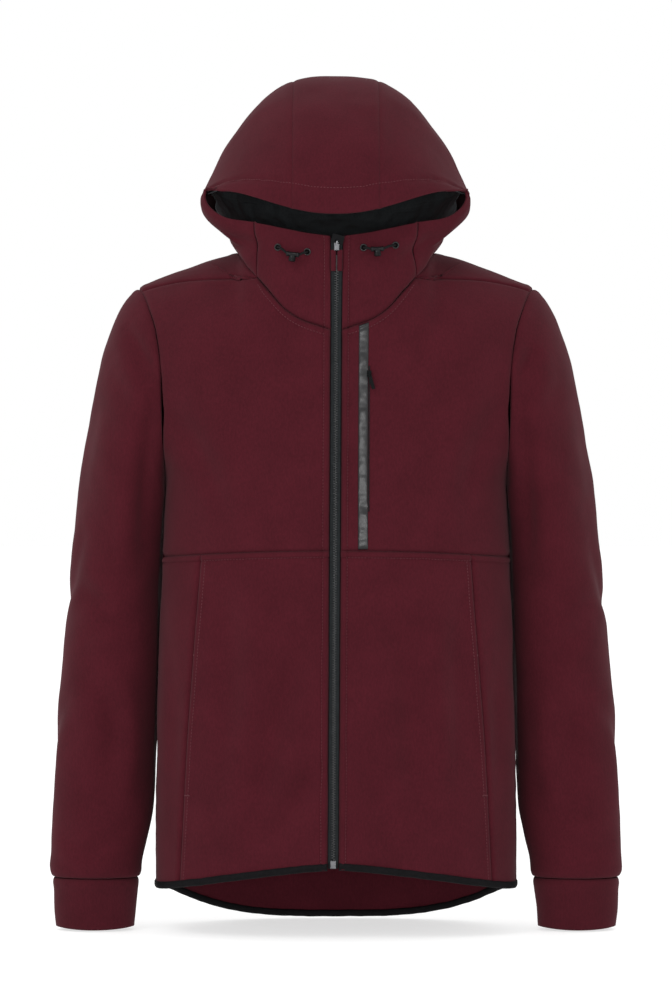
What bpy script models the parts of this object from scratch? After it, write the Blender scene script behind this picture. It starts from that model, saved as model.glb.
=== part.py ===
"""Zip-up hoodie in heavy knit, filled out with no wearer in it, with its hood slumped forward.

Metres, +Z up. The origin is level with the high points of the shoulders, on the middle plane of the
body. The front faces -Y. L is the wearer's left, at +X, and R the wearer's right, at -X.
Every cloth panel is cut from one outer skin, so panels meet at shared seam points.
"""

import math

import bpy
import numpy as np
from mathutils import Matrix, Vector
from mathutils.bvhtree import BVHTree

SIDES = {"L": 1, "R": -1}

# Cloth and gaps
WALL = 0.0021
SEAM_GAP = 0.0005
FRONT_GAP = 0.0006
LINING_WALL = 0.0011
LINING_DEPTH = 0.0060
LINING_TRIM = 0.0060
LAY = 0.0003

# Levels
ARMPIT_Z = -0.250
CHEST_Z = -0.3234
CHEST_DROP = 0.007
HEM_FRONT_Z = -0.6580
HEM_FRONT_DROP = 0.0275
HEM_BACK_Z = -0.7305
HEM_BACK_RISE = 0.0450
HALF_HEM = 0.194
CUFF_TOP_Z = -0.6770
CUFF_FOOT_Z = -0.7290

# Zip
ZIP_HALF = 0.0060
ZIP_TOP_X = 0.0008
ZIP_FOOT_X = -0.0030
ZIP_HEAD_Z = 0.0050
GARAGE_FOOT_Z = -0.0290

# Round of the body
SECTION_POWER = 2.5
SHOULDER_ROUND = 0.115

# Rows of faces
HEM_ROWS = 4
CHEST_ROWS = 2
ARMHOLE_ROWS = 9
ARMHOLE_EASE = 0.6
CROWN_ROWS = 6
STRIP_HALF = 0.046

# Hem binding, about the hem's edge
BINDING_UP = 0.0070
BINDING_DROP = 0.0013
BINDING_OUT = 0.0013
BINDING_IN = 0.0034

# Zip pieces, out of the panels' face
TAPE_LOW = -0.0016
TAPE_HIGH = -0.0004
COIL_HIGH = 0.0007
GARAGE_HIGH = 0.0022
TAPE_THICK = 0.0008
BOX_WIDTH, BOX_DEPTH, BOX_HEIGHT = 0.0062, 0.0026, 0.0085
SLIDER_Z = -0.0030
SLIDER_WIDTH, SLIDER_DEPTH, SLIDER_HEIGHT = 0.0062, 0.0030, 0.0095
MAIN_PIVOT_Z = 0.0005
PIVOT_OUT = 0.0041
MAIN_PULL_TILT = math.radians(15)
MAIN_PULL = {"width": 0.0130, "thick": 0.0011, "reach": 0.0090, "round": 0.00025,
             "crossbar": 0.0011, "slot_width": 0.0046, "slot_length": 0.0026,
             "bridge_width": 0.0018, "bridge_thick": 0.0008, "bridge_room": 0.0004,
             "bridge_span": 0.0050}

# Chest pocket zip
CHEST_SLIDER_Z = -0.1370
POCKET_HEAD_Z = -0.1285
POCKET_FOOT_Z = -0.2820
SMALL_SLIDER = (0.0046, 0.0020, 0.0068)
PIVOT_OUT_CHEST = 0.0045
CHEST_PIVOT_UP = -0.0004
CHEST_PULL_TILT = math.radians(-16)
CHEST_PULL = {"width": 0.0038, "thick": 0.0009, "reach": -0.0165, "round": 0.0002,
              "crossbar": 0.0009, "slot_width": 0.0022, "slot_length": 0.0022,
              "bridge_width": 0.0010, "bridge_thick": 0.0006, "bridge_room": 0.0003,
              "bridge_span": 0.0040}
BRIDGE_ROOT = 0.0005

# Drawcords
EYELET_RADIUS = 0.0031
EYELET_TUBE = 0.00075
CORD_RADIUS = 0.00135
CORD_STEPS = 18
LOCK_RADIUS = 0.0026
LOCK_LENGTH = 0.0108
LOCK_DROP = 0.0085
# Each cord: its eyelets, its route from one to the other, and its lock
CORD_ROWS = (
    {"x_0": 0.0289, "z_0": -0.0044, "x_1": 0.0621, "z_1": -0.0015,
     "route": ((0.0290, -0.1226, -0.0045), (0.0322, -0.1256, -0.0050), (0.0381, -0.1267, -0.0064),
               (0.0434, -0.1258, -0.0062), (0.0487, -0.1249, -0.0060), (0.0556, -0.1223, -0.0032),
               (0.0602, -0.1192, -0.0019), (0.0625, -0.1150, -0.0016)),
     "lock": (0.0434, -0.1258, -0.0062), "lock_along": (0.95, 0.16, 0.04)},
    {"x_0": -0.0303, "z_0": -0.0089, "x_1": -0.0610, "z_1": -0.0037,
     "route": ((-0.0304, -0.1219, -0.0090), (-0.0337, -0.1249, -0.0100),
               (-0.0401, -0.1257, -0.0124), (-0.0454, -0.1247, -0.0117),
               (-0.0507, -0.1237, -0.0110), (-0.0555, -0.1220, -0.0070),
               (-0.0596, -0.1193, -0.0042), (-0.0614, -0.1151, -0.0038)),
     "lock": (-0.0454, -0.1247, -0.0117), "lock_along": (-0.95, 0.18, 0.13)},
)


def table(columns, *rows):
    """A table with named columns. Its first column is the one that it is read along."""
    names = columns.split()
    found = {name: np.array([row[i] for row in rows]) for i, name in enumerate(names)}
    found["along"] = found[names[0]]
    return found


TORSO = table(
    "z      half_width front  back",
    (-0.760, 0.1940, 0.1250, 0.1250),
    (-0.640, 0.1940, 0.1245, 0.1230),
    (-0.550, 0.1935, 0.1230, 0.1200),
    (-0.470, 0.1915, 0.1215, 0.1165),
    (-0.400, 0.1895, 0.1205, 0.1140),
    (-0.330, 0.1870, 0.1200, 0.1130),
    (-0.250, 0.1835, 0.1190, 0.1130),
    (-0.200, 0.1970, 0.1175, 0.1130),
    (-0.150, 0.2100, 0.1165, 0.1120),
    (-0.100, 0.2220, 0.1150, 0.1090),
    (-0.050, 0.2350, 0.1120, 0.1050),
    (0.060, 0.2400, 0.1080, 0.1000),
)
SHOULDER_TOP = table(
    "x      z",
    (0.000, 0.0580),
    (0.046, 0.0470),
    (0.078, 0.0255),
    (0.096, 0.0095),
    (0.106, -0.0026),
    (0.130, -0.0095),
    (0.153, -0.0170),
    (0.184, -0.0280),
    (0.2135, -0.0414),
    (0.240, -0.0600),
)
ARMHOLE = table(
    "z       x",
    (-0.2500, 0.1835),
    (-0.1430, 0.1860),
    (-0.1200, 0.1880),
    (-0.0900, 0.1930),
    (-0.0656, 0.2010),
    (-0.0460, 0.2095),
    (-0.0414, 0.2135),
)
NECK_FRONT = table(
    "x      z",
    (0.0000, -0.0925),
    (0.0175, -0.0865),
    (0.0350, -0.0805),
    (0.0530, -0.0695),
    (0.0725, -0.0475),
    (0.0830, -0.0340),
    (0.0970, -0.0175),
    (0.1060, -0.0026),
)
NECK_BACK = table(
    "x      z",
    (0.0000, 0.0120),
    (0.0460, 0.0110),
    (0.0780, 0.0080),
    (0.0960, 0.0030),
    (0.1060, -0.0026),
)
SHOULDER_SEAM = table(
    "x      z",
    (0.0830, -0.0340),
    (0.1310, -0.0337),
    (0.1560, -0.0347),
    (0.1820, -0.0383),
    (0.2095, -0.0449),
)
# Lines that run up the front: shares of the way from the zip's edge to the side, and where they end
FRONT_LINES = table(
    "line hem    chest  top_x",
    (0, 0.000, 0.0000, 0.0060),
    (1, 0.105, 0.1000, 0.0242),
    (2, 0.162, 0.1565, 0.0345),
    (3, 0.172, 0.1665, 0.0362),
    (4, 0.350, 0.3300, 0.0540),
    (5, 0.560, 0.5300, 0.0700),
    (6, 0.740, 0.6700, 0.0830),
    (7, 0.856, 0.7600, 0.1080),
    (8, 0.925, 0.8700, 0.1340),
    (9, 0.968, 0.9450, 0.1600),
    (10, 0.992, 0.9870, 0.1860),
    (11, 1.000, 1.0000, 0.2095),
)
NECK_LINE = 6
SIDE_FRONT_LINE = 7
TAPE_LINES = (1, 2)
POCKET_ZIP_LINES = (2, 3)
# The same up the back. Lines up to the neck line end on the neck seam, and face 1 is the back face.
# The bend is how late a line turns in towards its end, so that it passes outside the neck.
BACK_LINES = table(
    "line hem   chest  top_x   face bend",
    (0, 0.000, 0.000, 0.0000, 1, 1.0),
    (1, 0.130, 0.120, 0.0230, 1, 1.0),
    (2, 0.250, 0.240, 0.0460, 1, 1.0),
    (3, 0.360, 0.350, 0.0620, 1, 1.0),
    (4, 0.470, 0.460, 0.0780, 1, 1.2),
    (5, 0.580, 0.560, 0.0930, 1, 1.6),
    (6, 0.680, 0.650, 0.1060, 0, 2.2),
    (7, 0.760, 0.730, 0.0970, -1, 3.5),
    (8, 0.830, 0.800, 0.0830, -1, 5.0),
    (9, 0.890, 0.870, 0.1080, -1, 4.0),
    (10, 0.940, 0.925, 0.1340, -1, 3.2),
    (11, 0.972, 0.963, 0.1600, -1, 2.4),
    (12, 0.993, 0.988, 0.1860, -1, 1.5),
    (13, 1.000, 1.000, 0.2095, -1, 1.0),
)
BACK_NECK_LINE = 8
RIDGE_LINE = 6
STRIP_LINE = 2
# Sleeve rings: the outer and the inner point, the middle's depth and half the ring's depth
SLEEVE = table(
    "ring out_z   out_x   in_z    in_x    mid_y   half_depth",
    (0, -0.0414, 0.2140, -0.2500, 0.1840, 0.0000, 0.0680),
    (1, -0.0526, 0.2262, -0.2560, 0.1855, 0.0015, 0.0700),
    (2, -0.0708, 0.2372, -0.2630, 0.1860, 0.0040, 0.0720),
    (3, -0.0936, 0.2460, -0.2710, 0.1862, 0.0070, 0.0735),
    (4, -0.1240, 0.2550, -0.2800, 0.1862, 0.0110, 0.0745),
    (5, -0.1600, 0.2615, -0.2930, 0.1862, 0.0150, 0.0750),
    (6, -0.2050, 0.2690, -0.3120, 0.1862, 0.0190, 0.0745),
    (7, -0.2550, 0.2775, -0.3400, 0.1862, 0.0220, 0.0730),
    (8, -0.3150, 0.2850, -0.3800, 0.1870, 0.0240, 0.0700),
    (9, -0.3850, 0.2910, -0.4300, 0.1880, 0.0240, 0.0650),
    (10, -0.4600, 0.2980, -0.4850, 0.1900, 0.0210, 0.0590),
    (11, -0.5300, 0.3035, -0.5400, 0.1940, 0.0160, 0.0530),
    (12, -0.5900, 0.3062, -0.5930, 0.1995, 0.0100, 0.0470),
    (13, -0.6350, 0.3078, -0.6360, 0.2070, 0.0050, 0.0420),
    (14, -0.6620, 0.3080, -0.6620, 0.2105, 0.0030, 0.0380),
    (15, CUFF_TOP_Z, 0.3055, CUFF_TOP_Z, 0.2130, 0.0020, 0.0330),
)
CUFF = table(
    "z       out_x   in_x    mid_y  half_depth",
    (CUFF_FOOT_Z, 0.3025, 0.2180, 0.0020, 0.0290),
    (-0.7100, 0.3045, 0.2165, 0.0020, 0.0300),
    (-0.6900, 0.3050, 0.2140, 0.0020, 0.0315),
    (CUFF_TOP_Z, 0.3055, 0.2130, 0.0020, 0.0330),
)
CUFF_ROWS = 2
# Hood, half of it: the lower rim from the zip to the lobe, the base of the crown from the lobe to
# the back, and the crown's middle line from the brim to the back
RIM = ((0.0068, -0.1240, 0.0076), (0.031, -0.1230, 0.0108), (0.050, -0.1195, 0.0147),
       (0.0875, -0.1060, 0.0260), (0.1204, -0.0890, 0.0410), (0.1385, -0.0780, 0.0575))
CROWN_BASE = ((0.1385, -0.0780, 0.0575), (0.1415, -0.0450, 0.0600), (0.1415, -0.0100, 0.0600),
              (0.1300, 0.0350, 0.0580), (0.1000, 0.0750, 0.0560), (0.0700, 0.0960, 0.0550),
              (STRIP_HALF, 0.1050, 0.0550))
CROWN_MIDDLE = ((0.0, -0.1500, 0.0293), (0.0, -0.1480, 0.0620), (0.0, -0.1310, 0.1060),
                (0.0, -0.0930, 0.1490), (0.0, -0.0400, 0.1800), (0.0, 0.0150, 0.1870),
                (0.0, 0.0700, 0.1640), (0.0, 0.1050, 0.1220), (0.0, 0.1160, 0.0850),
                (0.0, 0.1100, 0.0560))
CHIN_RIM_SHARE = 0.56
BASE_EASE = 1.5
BRIM_DROOP_POWER = 1.4
CROWN_POWER = 2.9
DEPTH_POWER = 2.4
DROOP_RIBS = 3
# How far the cloth stands out of a straight line up the collar, at the lobe and at the back
COLLAR_SWELL = table(
    "share lobe    back",
    (0.00, 0.0000, 0.0000),
    (0.25, 0.0018, 0.0060),
    (0.38, 0.0000, 0.0085),
    (0.52, 0.0095, 0.0100),
    (0.68, 0.0150, 0.0090),
    (0.84, 0.0110, 0.0055),
    (1.00, 0.0000, 0.0000),
)
COLLAR_SHARES = (0.0, 0.22, 0.38, 0.52, 0.68, 0.84, 1.0)


def follow(rows, name, at):
    """A column read between the rows of its table, on a curve that doesn't overshoot them."""
    keys = rows["along"]
    values = rows[name].astype(float)
    rise = np.diff(values) / np.diff(keys)
    slope = np.empty(len(values))
    slope[0] = rise[0]
    slope[-1] = rise[-1]
    both = rise[:-1] * rise[1:]
    slope[1:-1] = np.where(both > 0, 2 * both / np.where(both > 0, rise[:-1] + rise[1:], 1), 0)
    i = int(np.clip(np.searchsorted(keys, at) - 1, 0, len(keys) - 2))
    step = keys[i + 1] - keys[i]
    t = float(np.clip((at - keys[i]) / step, 0, 1))
    low = (2 * t**3 - 3 * t**2 + 1) * values[i] + (t**3 - 2 * t**2 + t) * step * slope[i]
    high = (3 * t**2 - 2 * t**3) * values[i + 1] + (t**3 - t**2) * step * slope[i + 1]
    return low + high


def mix(a, b, share):
    return a + (b - a) * share


def spaced(line, shares):
    """Points at these shares of a line's length."""
    line = np.asarray(line, float)
    run = np.concatenate([[0], np.cumsum(np.linalg.norm(np.diff(line, axis=0), axis=1))])
    places = np.asarray(shares) * run[-1]
    return np.stack([np.interp(places, run, line[:, i]) for i in range(3)], axis=1)


def closer_at_ends(count):
    """Shares of a length, closer together towards both of its ends."""
    even = np.linspace(0, 1, count + 1)
    return mix(even, (1 - np.cos(np.pi * even)) / 2, ARMHOLE_EASE)


def trace(points, shares, fine=12):
    """The same on a smooth curve through a few points."""
    points = np.asarray(points, float)
    before = 2 * points[0] - points[1]
    after = 2 * points[-1] - points[-2]
    ends = np.vstack([before, points, after])
    line = [points[0]]
    for i in range(1, len(ends) - 2):
        a, b, c, d = ends[i - 1 : i + 3]
        for t in np.linspace(0, 1, fine + 1)[1:]:
            bend = 2 * b + (c - a) * t + (2 * a - 5 * b + 4 * c - d) * t**2
            line.append((bend + (3 * b - a - 3 * c + d) * t**3) / 2)
    return spaced(line, shares)


# ---------------------------------------------------------------- body form


def reach(x, z, front):
    """How far the body stands out from its middle plane at this width and height."""
    share = min(abs(x) / follow(TORSO, "half_width", z), 1.0)
    depth = follow(TORSO, "front" if front else "back", z)
    return depth * (1 - share**SECTION_POWER) ** (1 / SECTION_POWER)


def body_point(x, turn):
    """A point of the body: turn is 0 on the shoulder's ridge, below 0 in front and above 0 behind."""
    top = follow(SHOULDER_TOP, "z", abs(x))
    angle = min(abs(turn), 1.0) * math.pi / 2
    beyond = max(abs(turn) - 1.0, 0.0) * math.pi / 2
    z = top - SHOULDER_ROUND * (1 - math.cos(angle) + beyond)
    return np.array([x, math.copysign(1, turn) * reach(x, z, turn < 0) * math.sin(angle), z])


def turn_at(x, z):
    """The turn, without its sign, at which the body reaches this height."""
    drop = (follow(SHOULDER_TOP, "z", abs(x)) - z) / SHOULDER_ROUND
    if drop > 1:
        return 1 + (drop - 1) * 2 / math.pi
    return math.acos(1 - max(drop, 0)) * 2 / math.pi


def zip_x(z):
    return mix(ZIP_FOOT_X, ZIP_TOP_X, (z - HEM_FRONT_Z) / (ZIP_HEAD_Z - HEM_FRONT_Z))


def across(side, share, z, edge):
    """x at a share of the way from the edge of the panel to the body's side."""
    half = follow(TORSO, "half_width", z)
    lean = zip_x(z) * (1 - share) ** 2 if edge else 0.0
    return lean + side * (edge + share * (half - edge))


def hem_z(x, front):
    if front:
        return HEM_FRONT_Z - HEM_FRONT_DROP * (abs(x) / HALF_HEM) ** 1.4
    share = min(abs(x) / HALF_HEM, 1)
    return HEM_BACK_Z + HEM_BACK_RISE * share**3.2


def armhole_x(turn):
    x = 0.19
    for _ in range(8):
        x = follow(ARMHOLE, "x", body_point(x, turn)[2])
    return x


def body_lines(side, lines, front):
    """The panel's lines, each a row of points from the hem up to the neck or shoulder seam."""
    edge = ZIP_HALF if front else 0.0
    sign = -1 if front else 1
    grid = []
    bends = lines.get("bend", np.ones(len(lines["line"])))
    top_turn_side = -turn_at(0.2095, -0.0449)
    foot_turn_side = sign * turn_at(follow(ARMHOLE, "x", ARMPIT_Z), ARMPIT_Z)
    for i, (hem, chest, top_x) in enumerate(zip(lines["hem"], lines["chest"], lines["top_x"])):
        low_z = hem_z(across(side, hem, HEM_FRONT_Z, edge), front)
        chest_z = CHEST_Z - CHEST_DROP * chest**2
        line = []
        for t in np.linspace(0, 1, HEM_ROWS + 1)[:-1]:
            z = mix(low_z, chest_z, t)
            line.append((across(side, mix(hem, chest, t), z, edge), z))
        for t in np.linspace(0, 1, CHEST_ROWS + 1):
            z = mix(chest_z, ARMPIT_Z, t)
            line.append((across(side, chest, z, edge), z))
        line = [body_point(x, sign * turn_at(x, z)) for x, z in line]
        foot_x = abs(line[-1][0]) if i else line[-1][0]
        top_x = top_x if i else zip_x(NECK_FRONT["z"][0]) + side * top_x
        top_z, face = top_of(abs(top_x), front, i, lines)
        top_turn = face * turn_at(top_x, top_z)
        foot_turn = sign * turn_at(foot_x, ARMPIT_Z)
        upper = []
        for t in np.linspace(0, 1, 41):
            curve = armhole_x(mix(foot_turn_side, top_turn_side, t))
            curve -= mix(armhole_x(foot_turn_side), armhole_x(top_turn_side), t)
            x = mix(foot_x, top_x, t ** bends[i]) + curve * chest**2
            upper.append(body_point(x * (side if i else 1), mix(foot_turn, top_turn, t)))
        upper = spaced(upper, closer_at_ends(ARMHOLE_ROWS))
        grid.append(np.vstack([line, upper[1:]]))
    return np.array(grid)


def top_of(x, front, i, lines):
    """Where a line ends: its height, and the face of the body that it ends on."""
    if front:
        seam = NECK_FRONT if i <= NECK_LINE else SHOULDER_SEAM
        return follow(seam, "z", x), -1
    face = lines["face"][i]
    if i > BACK_NECK_LINE:
        return follow(SHOULDER_SEAM, "z", x), face
    return follow(NECK_FRONT if face < 0 else NECK_BACK, "z", x), face


# ---------------------------------------------------------------- sleeves


def ring_points(row, angles, side):
    """A sleeve or cuff ring at these angles, from its outer point round by the front."""
    outer = np.array([row["out_x"], row["mid_y"], row["out_z"]])
    inner = np.array([row["in_x"], row["mid_y"], row["in_z"]])
    middle = (outer + inner) / 2
    found = []
    for angle in angles:
        point = middle + (outer - inner) / 2 * math.cos(angle)
        point[1] -= row["half_depth"] * math.sin(angle)
        point[0] = max(point[0], clear_of_body(point))
        found.append(point * (side, 1, 1))
    return np.array(found)


def clear_of_body(point):
    """The least x at which a sleeve stays clear of the body's side."""
    x, y, z = point
    if z > ARMPIT_Z:
        return x
    depth = follow(TORSO, "front" if y < 0 else "back", z)
    share = min(abs(y) / depth, 1.0)
    flank = follow(TORSO, "half_width", z) * (1 - share**SECTION_POWER) ** (1 / SECTION_POWER)
    return flank + min(0.0030, 0.0008 + 0.06 * (ARMPIT_Z - z))


def armhole_loop(front, back):
    """The armhole's points, up the front from the armpit and down the back, and not closed."""
    level = HEM_ROWS + CHEST_ROWS
    return np.vstack([front[-1][level:], back[-1][level:-1][::-1]])[:-1]


def sleeve_grid(loop, side):
    first = {name: SLEEVE[name][0] for name in SLEEVE}
    middle_z = (first["out_z"] + first["in_z"]) / 2
    half = (first["out_z"] - first["in_z"]) / 2
    angles = [math.atan2(-p[1] / first["half_depth"], (p[2] - middle_z) / half) for p in loop]
    rings = []
    shift = loop - ring_points(first, angles, side)
    count = len(SLEEVE["ring"])
    for i in range(count):
        row = {name: SLEEVE[name][i] for name in SLEEVE}
        fade = max(0.0, 1 - i / 6) ** 2
        ring = ring_points(row, angles, side) + shift * fade
        rings.append(ring if i else loop)
    return np.array(rings), angles


def cuff_grid(top, angles, side):
    rings = []
    for z in np.linspace(CUFF_FOOT_Z, CUFF_TOP_Z, CUFF_ROWS + 1)[:-1]:
        row = {name: follow(CUFF, name, z) for name in ("out_x", "in_x", "mid_y", "half_depth")}
        row["out_z"] = row["in_z"] = z
        rings.append(ring_points(row, angles, side))
    return np.array(rings + [top])


# ---------------------------------------------------------------- hood


def halved(line):
    """A line with the middle of each of its steps added."""
    found = [line[0]]
    for a, b in zip(line[:-1], line[1:]):
        found += [(a + b) / 2, b]
    return np.array(found)


def collar_lines(feet, tops, lobe, back):
    """Lines from the neck seam up to the rim or the crown's base, with the lobe's roll and the
    swell of the back, each by its share on that line."""
    grid = []
    for i, (foot, top) in enumerate(zip(feet, tops)):
        line = []
        for share in COLLAR_SHARES:
            point = mix(foot, top, share)
            out = np.array([point[0], point[1] + 0.02, 0])
            out /= np.linalg.norm(out)
            swell = lobe[i] * follow(COLLAR_SWELL, "lobe", share)
            swell += back[i] * follow(COLLAR_SWELL, "back", share)
            line.append(point + out * swell)
        grid.append(np.array(line))
    return np.array(grid)


def rib(base, middle, number, x_from, x_to, count, side):
    """A rib of the crown between two widths, from its base towards its middle line."""
    ease = min(number / DROOP_RIBS, 1.0)
    power = mix(BRIM_DROOP_POWER, CROWN_POWER, ease)
    line = []
    for x in np.linspace(x_from, x_to, 49):
        share = min(x / base[0], 1.0)
        y = mix(middle[1], base[1], share**DEPTH_POWER)
        z = mix(middle[2], base[2], share**power)
        line.append((x * side, y, z))
    return spaced(line, np.linspace(0, 1, count + 1))


def hood_grids(side, front, back):
    """The half hood's grids: chin, side below the crown, crown side, and the strip's two halves."""
    mirror = np.array([side, 1, 1])
    chin_feet = front[: NECK_LINE + 1, -1]
    side_feet = halved(back[STRIP_LINE : BACK_NECK_LINE + 1, -1][::-1])
    strip_feet = back[: STRIP_LINE + 1, -1][::-1]
    to_lobe = 2 * (BACK_NECK_LINE - RIDGE_LINE)
    chin_shares = np.linspace(0, CHIN_RIM_SHARE, NECK_LINE + 1)
    lobe_shares = np.linspace(CHIN_RIM_SHARE, 1, to_lobe + 1)
    ribs = len(side_feet) - 1 - to_lobe
    base = trace(CROWN_BASE, np.linspace(0, 1, ribs + 1) ** BASE_EASE)
    middle = trace(CROWN_MIDDLE, np.linspace(0, 1, ribs + 1))
    chin_tops = trace(RIM, chin_shares) * mirror
    chin_tops[:, 0] += zip_x(ZIP_HEAD_Z) * (1 - chin_shares / CHIN_RIM_SHARE)
    lobe_tops = trace(RIM, lobe_shares)
    side_tops = np.vstack([lobe_tops, base[1:]]) * mirror
    behind = np.linspace(0, 1, ribs + 1)[1:]
    lobe = np.concatenate([np.linspace(0, 1, to_lobe + 1) ** 1.3,
                           (0.5 + 0.5 * np.cos(np.pi * behind**0.6)) ** 1.3])
    swell = np.concatenate([np.zeros(to_lobe + 1), behind])
    flat = np.zeros(NECK_LINE + 1)
    chin = collar_lines(chin_feet, chin_tops, flat, flat)
    lower = collar_lines(side_feet, side_tops, lobe, swell)
    crown = []
    strip = []
    for i in range(ribs + 1):
        seam = min(STRIP_HALF, base[i][0])
        crown.append(rib(base[i], middle[i], i, base[i][0], seam, CROWN_ROWS, side))
        strip.append(rib(base[i], middle[i], i, seam, 0.0, STRIP_LINE, side))
    strip_tops = strip[-1]
    strip_low = collar_lines(strip_feet, strip_tops, flat, flat + 1)
    smooth = collar_lines(side_feet, side_tops, 0 * lobe, swell)
    return chin, lower, np.array(crown), np.array(strip), strip_low, smooth


# ---------------------------------------------------------------- skin and panels


class Skin:
    """The garment's outer skin: shared points, and the faces of each panel."""

    def __init__(self):
        self.points = []
        self.places = {}
        self.panels = {}

    def place(self, point):
        key = tuple(int(round(c * 1e5)) for c in point)
        if key not in self.places:
            self.places[key] = len(self.points)
            self.points.append(np.asarray(point, float))
        return self.places[key]

    def add(self, panel, grid, inside, closed=False):
        """Adds a grid of faces that look away from the inside point."""
        numbers = [[self.place(point) for point in line] for line in grid]
        if closed:
            numbers = [line + line[:1] for line in numbers]
        faces = []
        for a, b in zip(numbers[:-1], numbers[1:]):
            for i in range(len(a) - 1):
                face = []
                for number in (a[i], b[i], b[i + 1], a[i + 1]):
                    if number not in face:
                        face.append(number)
                faces += self.split(face)
        outward = 0.0
        for face in faces:
            corners = np.array([self.points[i] for i in face])
            outward += face_area(corners) @ (corners.mean(axis=0) - inside)
        if outward < 0:
            faces = [face[::-1] for face in faces]
        self.panels.setdefault(panel, []).extend(faces)

    def split(self, face):
        """A face of the grid as triangles, parted across its shorter diagonal."""
        if len(face) < 4:
            return [face] if len(face) == 3 else []
        a, b, c, d = (self.points[i] for i in face)
        if np.linalg.norm(c - a) > np.linalg.norm(d - b) + 1e-7:
            face = face[1:] + face[:1]
        return [face[:3], [face[0], face[2], face[3]]]

    def normals(self, faces):
        found = np.zeros((len(self.points), 3))
        for face in faces:
            area = face_area(np.array([self.points[i] for i in face]))
            for i in face:
                found[i] += area
        return found / np.maximum(np.linalg.norm(found, axis=1, keepdims=True), 1e-12)

    def finish(self):
        self.points = np.array(self.points)
        self.all = self.normals([face for faces in self.panels.values() for face in faces])

    def inward(self, faces):
        """From each point into the cloth. At a seam it is shared with the next panel, unless the
        two face apart, as at the armpit."""
        own = self.normals(faces)
        apart = (own * self.all).sum(axis=1) < 0.5
        return -np.where(apart[:, None], own, self.all)


def face_area(corners):
    """A face's normal, as long as its area."""
    first = corners[0]
    total = np.zeros(3)
    for a, b in zip(corners[1:-1], corners[2:]):
        total += np.cross(a - first, b - first) / 2
    return total


def rim_edges(faces):
    """The edges at the rim of a piece, each with its face."""
    found = {}
    for face in faces:
        for a, b in zip(face, face[1:] + face[:1]):
            key = (min(a, b), max(a, b))
            found.setdefault(key, []).append((a, b, face))
    return [users[0] for users in found.values() if len(users) == 1]


def drawn_back(points, faces, gap):
    """The piece's points, with its rim drawn back by the gap along the cloth."""
    pulls = {}
    for a, b, face in rim_edges(faces):
        edge = points[b] - points[a]
        edge = edge / np.linalg.norm(edge)
        inside = points[list(face)].mean(axis=0) - (points[a] + points[b]) / 2
        inside -= edge * (inside @ edge)
        inside /= np.linalg.norm(inside)
        pulls.setdefault(a, []).append(inside)
        pulls.setdefault(b, []).append(inside)
    moved = points.copy()
    for i, both in pulls.items():
        first, last = both[0], both[-1]
        moved[i] += gap * (first + last) / max(1 + first @ last, 0.4)
    return moved


def wall(name, points, faces, inward, thickness, look):
    """A closed piece of cloth from its outer face: the inner face, and the edge between them."""
    used = sorted({i for face in faces for i in face})
    number = {old: new for new, old in enumerate(used)}
    count = len(used)
    corners = [points[i] for i in used] + [points[i] + inward[i] * thickness for i in used]
    outer = [[number[i] for i in face] for face in faces]
    inner = [[i + count for i in reversed(face)] for face in outer]
    edge = []
    for a, b, _ in rim_edges(outer):
        face = [b, a, a + count, b + count]
        places = [points[used[b]], points[used[a]], corners[a + count], corners[b + count]]
        across = [np.linalg.norm(places[2] - places[0]), np.linalg.norm(places[3] - places[1])]
        face = face if across[0] < across[1] else face[1:] + face[:1]
        edge += [face[:3], [face[0], face[2], face[3]]]
    return add_mesh(name, corners, outer + inner + edge, look)


def ribbon(name, left, right, low, high, look):
    """A flat strip between two lines of points: low and high are its faces' distances out of the
    surface that the lines lie on."""
    up = np.gradient(left + right, axis=0)
    out = np.cross(right - left, up)
    out /= np.linalg.norm(out, axis=1, keepdims=True)
    out *= np.where(out[:, 1:2] > 0, -1, 1)
    corners = np.concatenate([left + out * low, right + out * low, right + out * high,
                              left + out * high])
    count = len(left)
    faces = [[0, count, 2 * count, 3 * count], [i * count + count - 1 for i in (3, 2, 1, 0)]]
    for i in range(count - 1):
        for a, b in ((0, 1), (1, 2), (2, 3), (3, 0)):
            faces.append([a * count + i, a * count + i + 1, b * count + i + 1, b * count + i])
    return add_mesh(name, corners, faces, look)


# ---------------------------------------------------------------- Blender objects


def clear_scene():
    for old in list(bpy.data.objects):
        bpy.data.objects.remove(old, do_unlink=True)


def material(name, colour, roughness, metallic=0.0):
    made = bpy.data.materials.new(name)
    made.use_nodes = True
    shader = made.node_tree.nodes["Principled BSDF"]
    shader.inputs["Base Color"].default_value = (*colour, 1)
    shader.inputs["Roughness"].default_value = roughness
    shader.inputs["Metallic"].default_value = metallic
    return made


def collection(name):
    made = bpy.data.collections.new(name)
    bpy.context.scene.collection.children.link(made)
    return made


def add_object(name, data, look):
    data.materials.append(look)
    made = bpy.data.objects.new(name, data)
    HOODIE.objects.link(made)
    return made


def add_mesh(name, corners, faces, look):
    mesh = bpy.data.meshes.new(name)
    mesh.from_pydata([tuple(map(float, p)) for p in corners], [], [list(f) for f in faces])
    mesh.validate()
    turn_outward(mesh)
    mesh.shade_smooth()
    mesh.set_sharp_from_angle(angle=math.radians(50))
    return add_object(name, mesh, look)


def turn_outward(mesh):
    """Turns the faces round where the closed mesh is inside out."""
    volume = 0.0
    for face in mesh.polygons:
        corners = [mesh.vertices[i].co for i in face.vertices]
        for b, c in zip(corners[1:-1], corners[2:]):
            volume += corners[0].dot(b.cross(c))
    if volume < 0:
        mesh.flip_normals()


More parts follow.
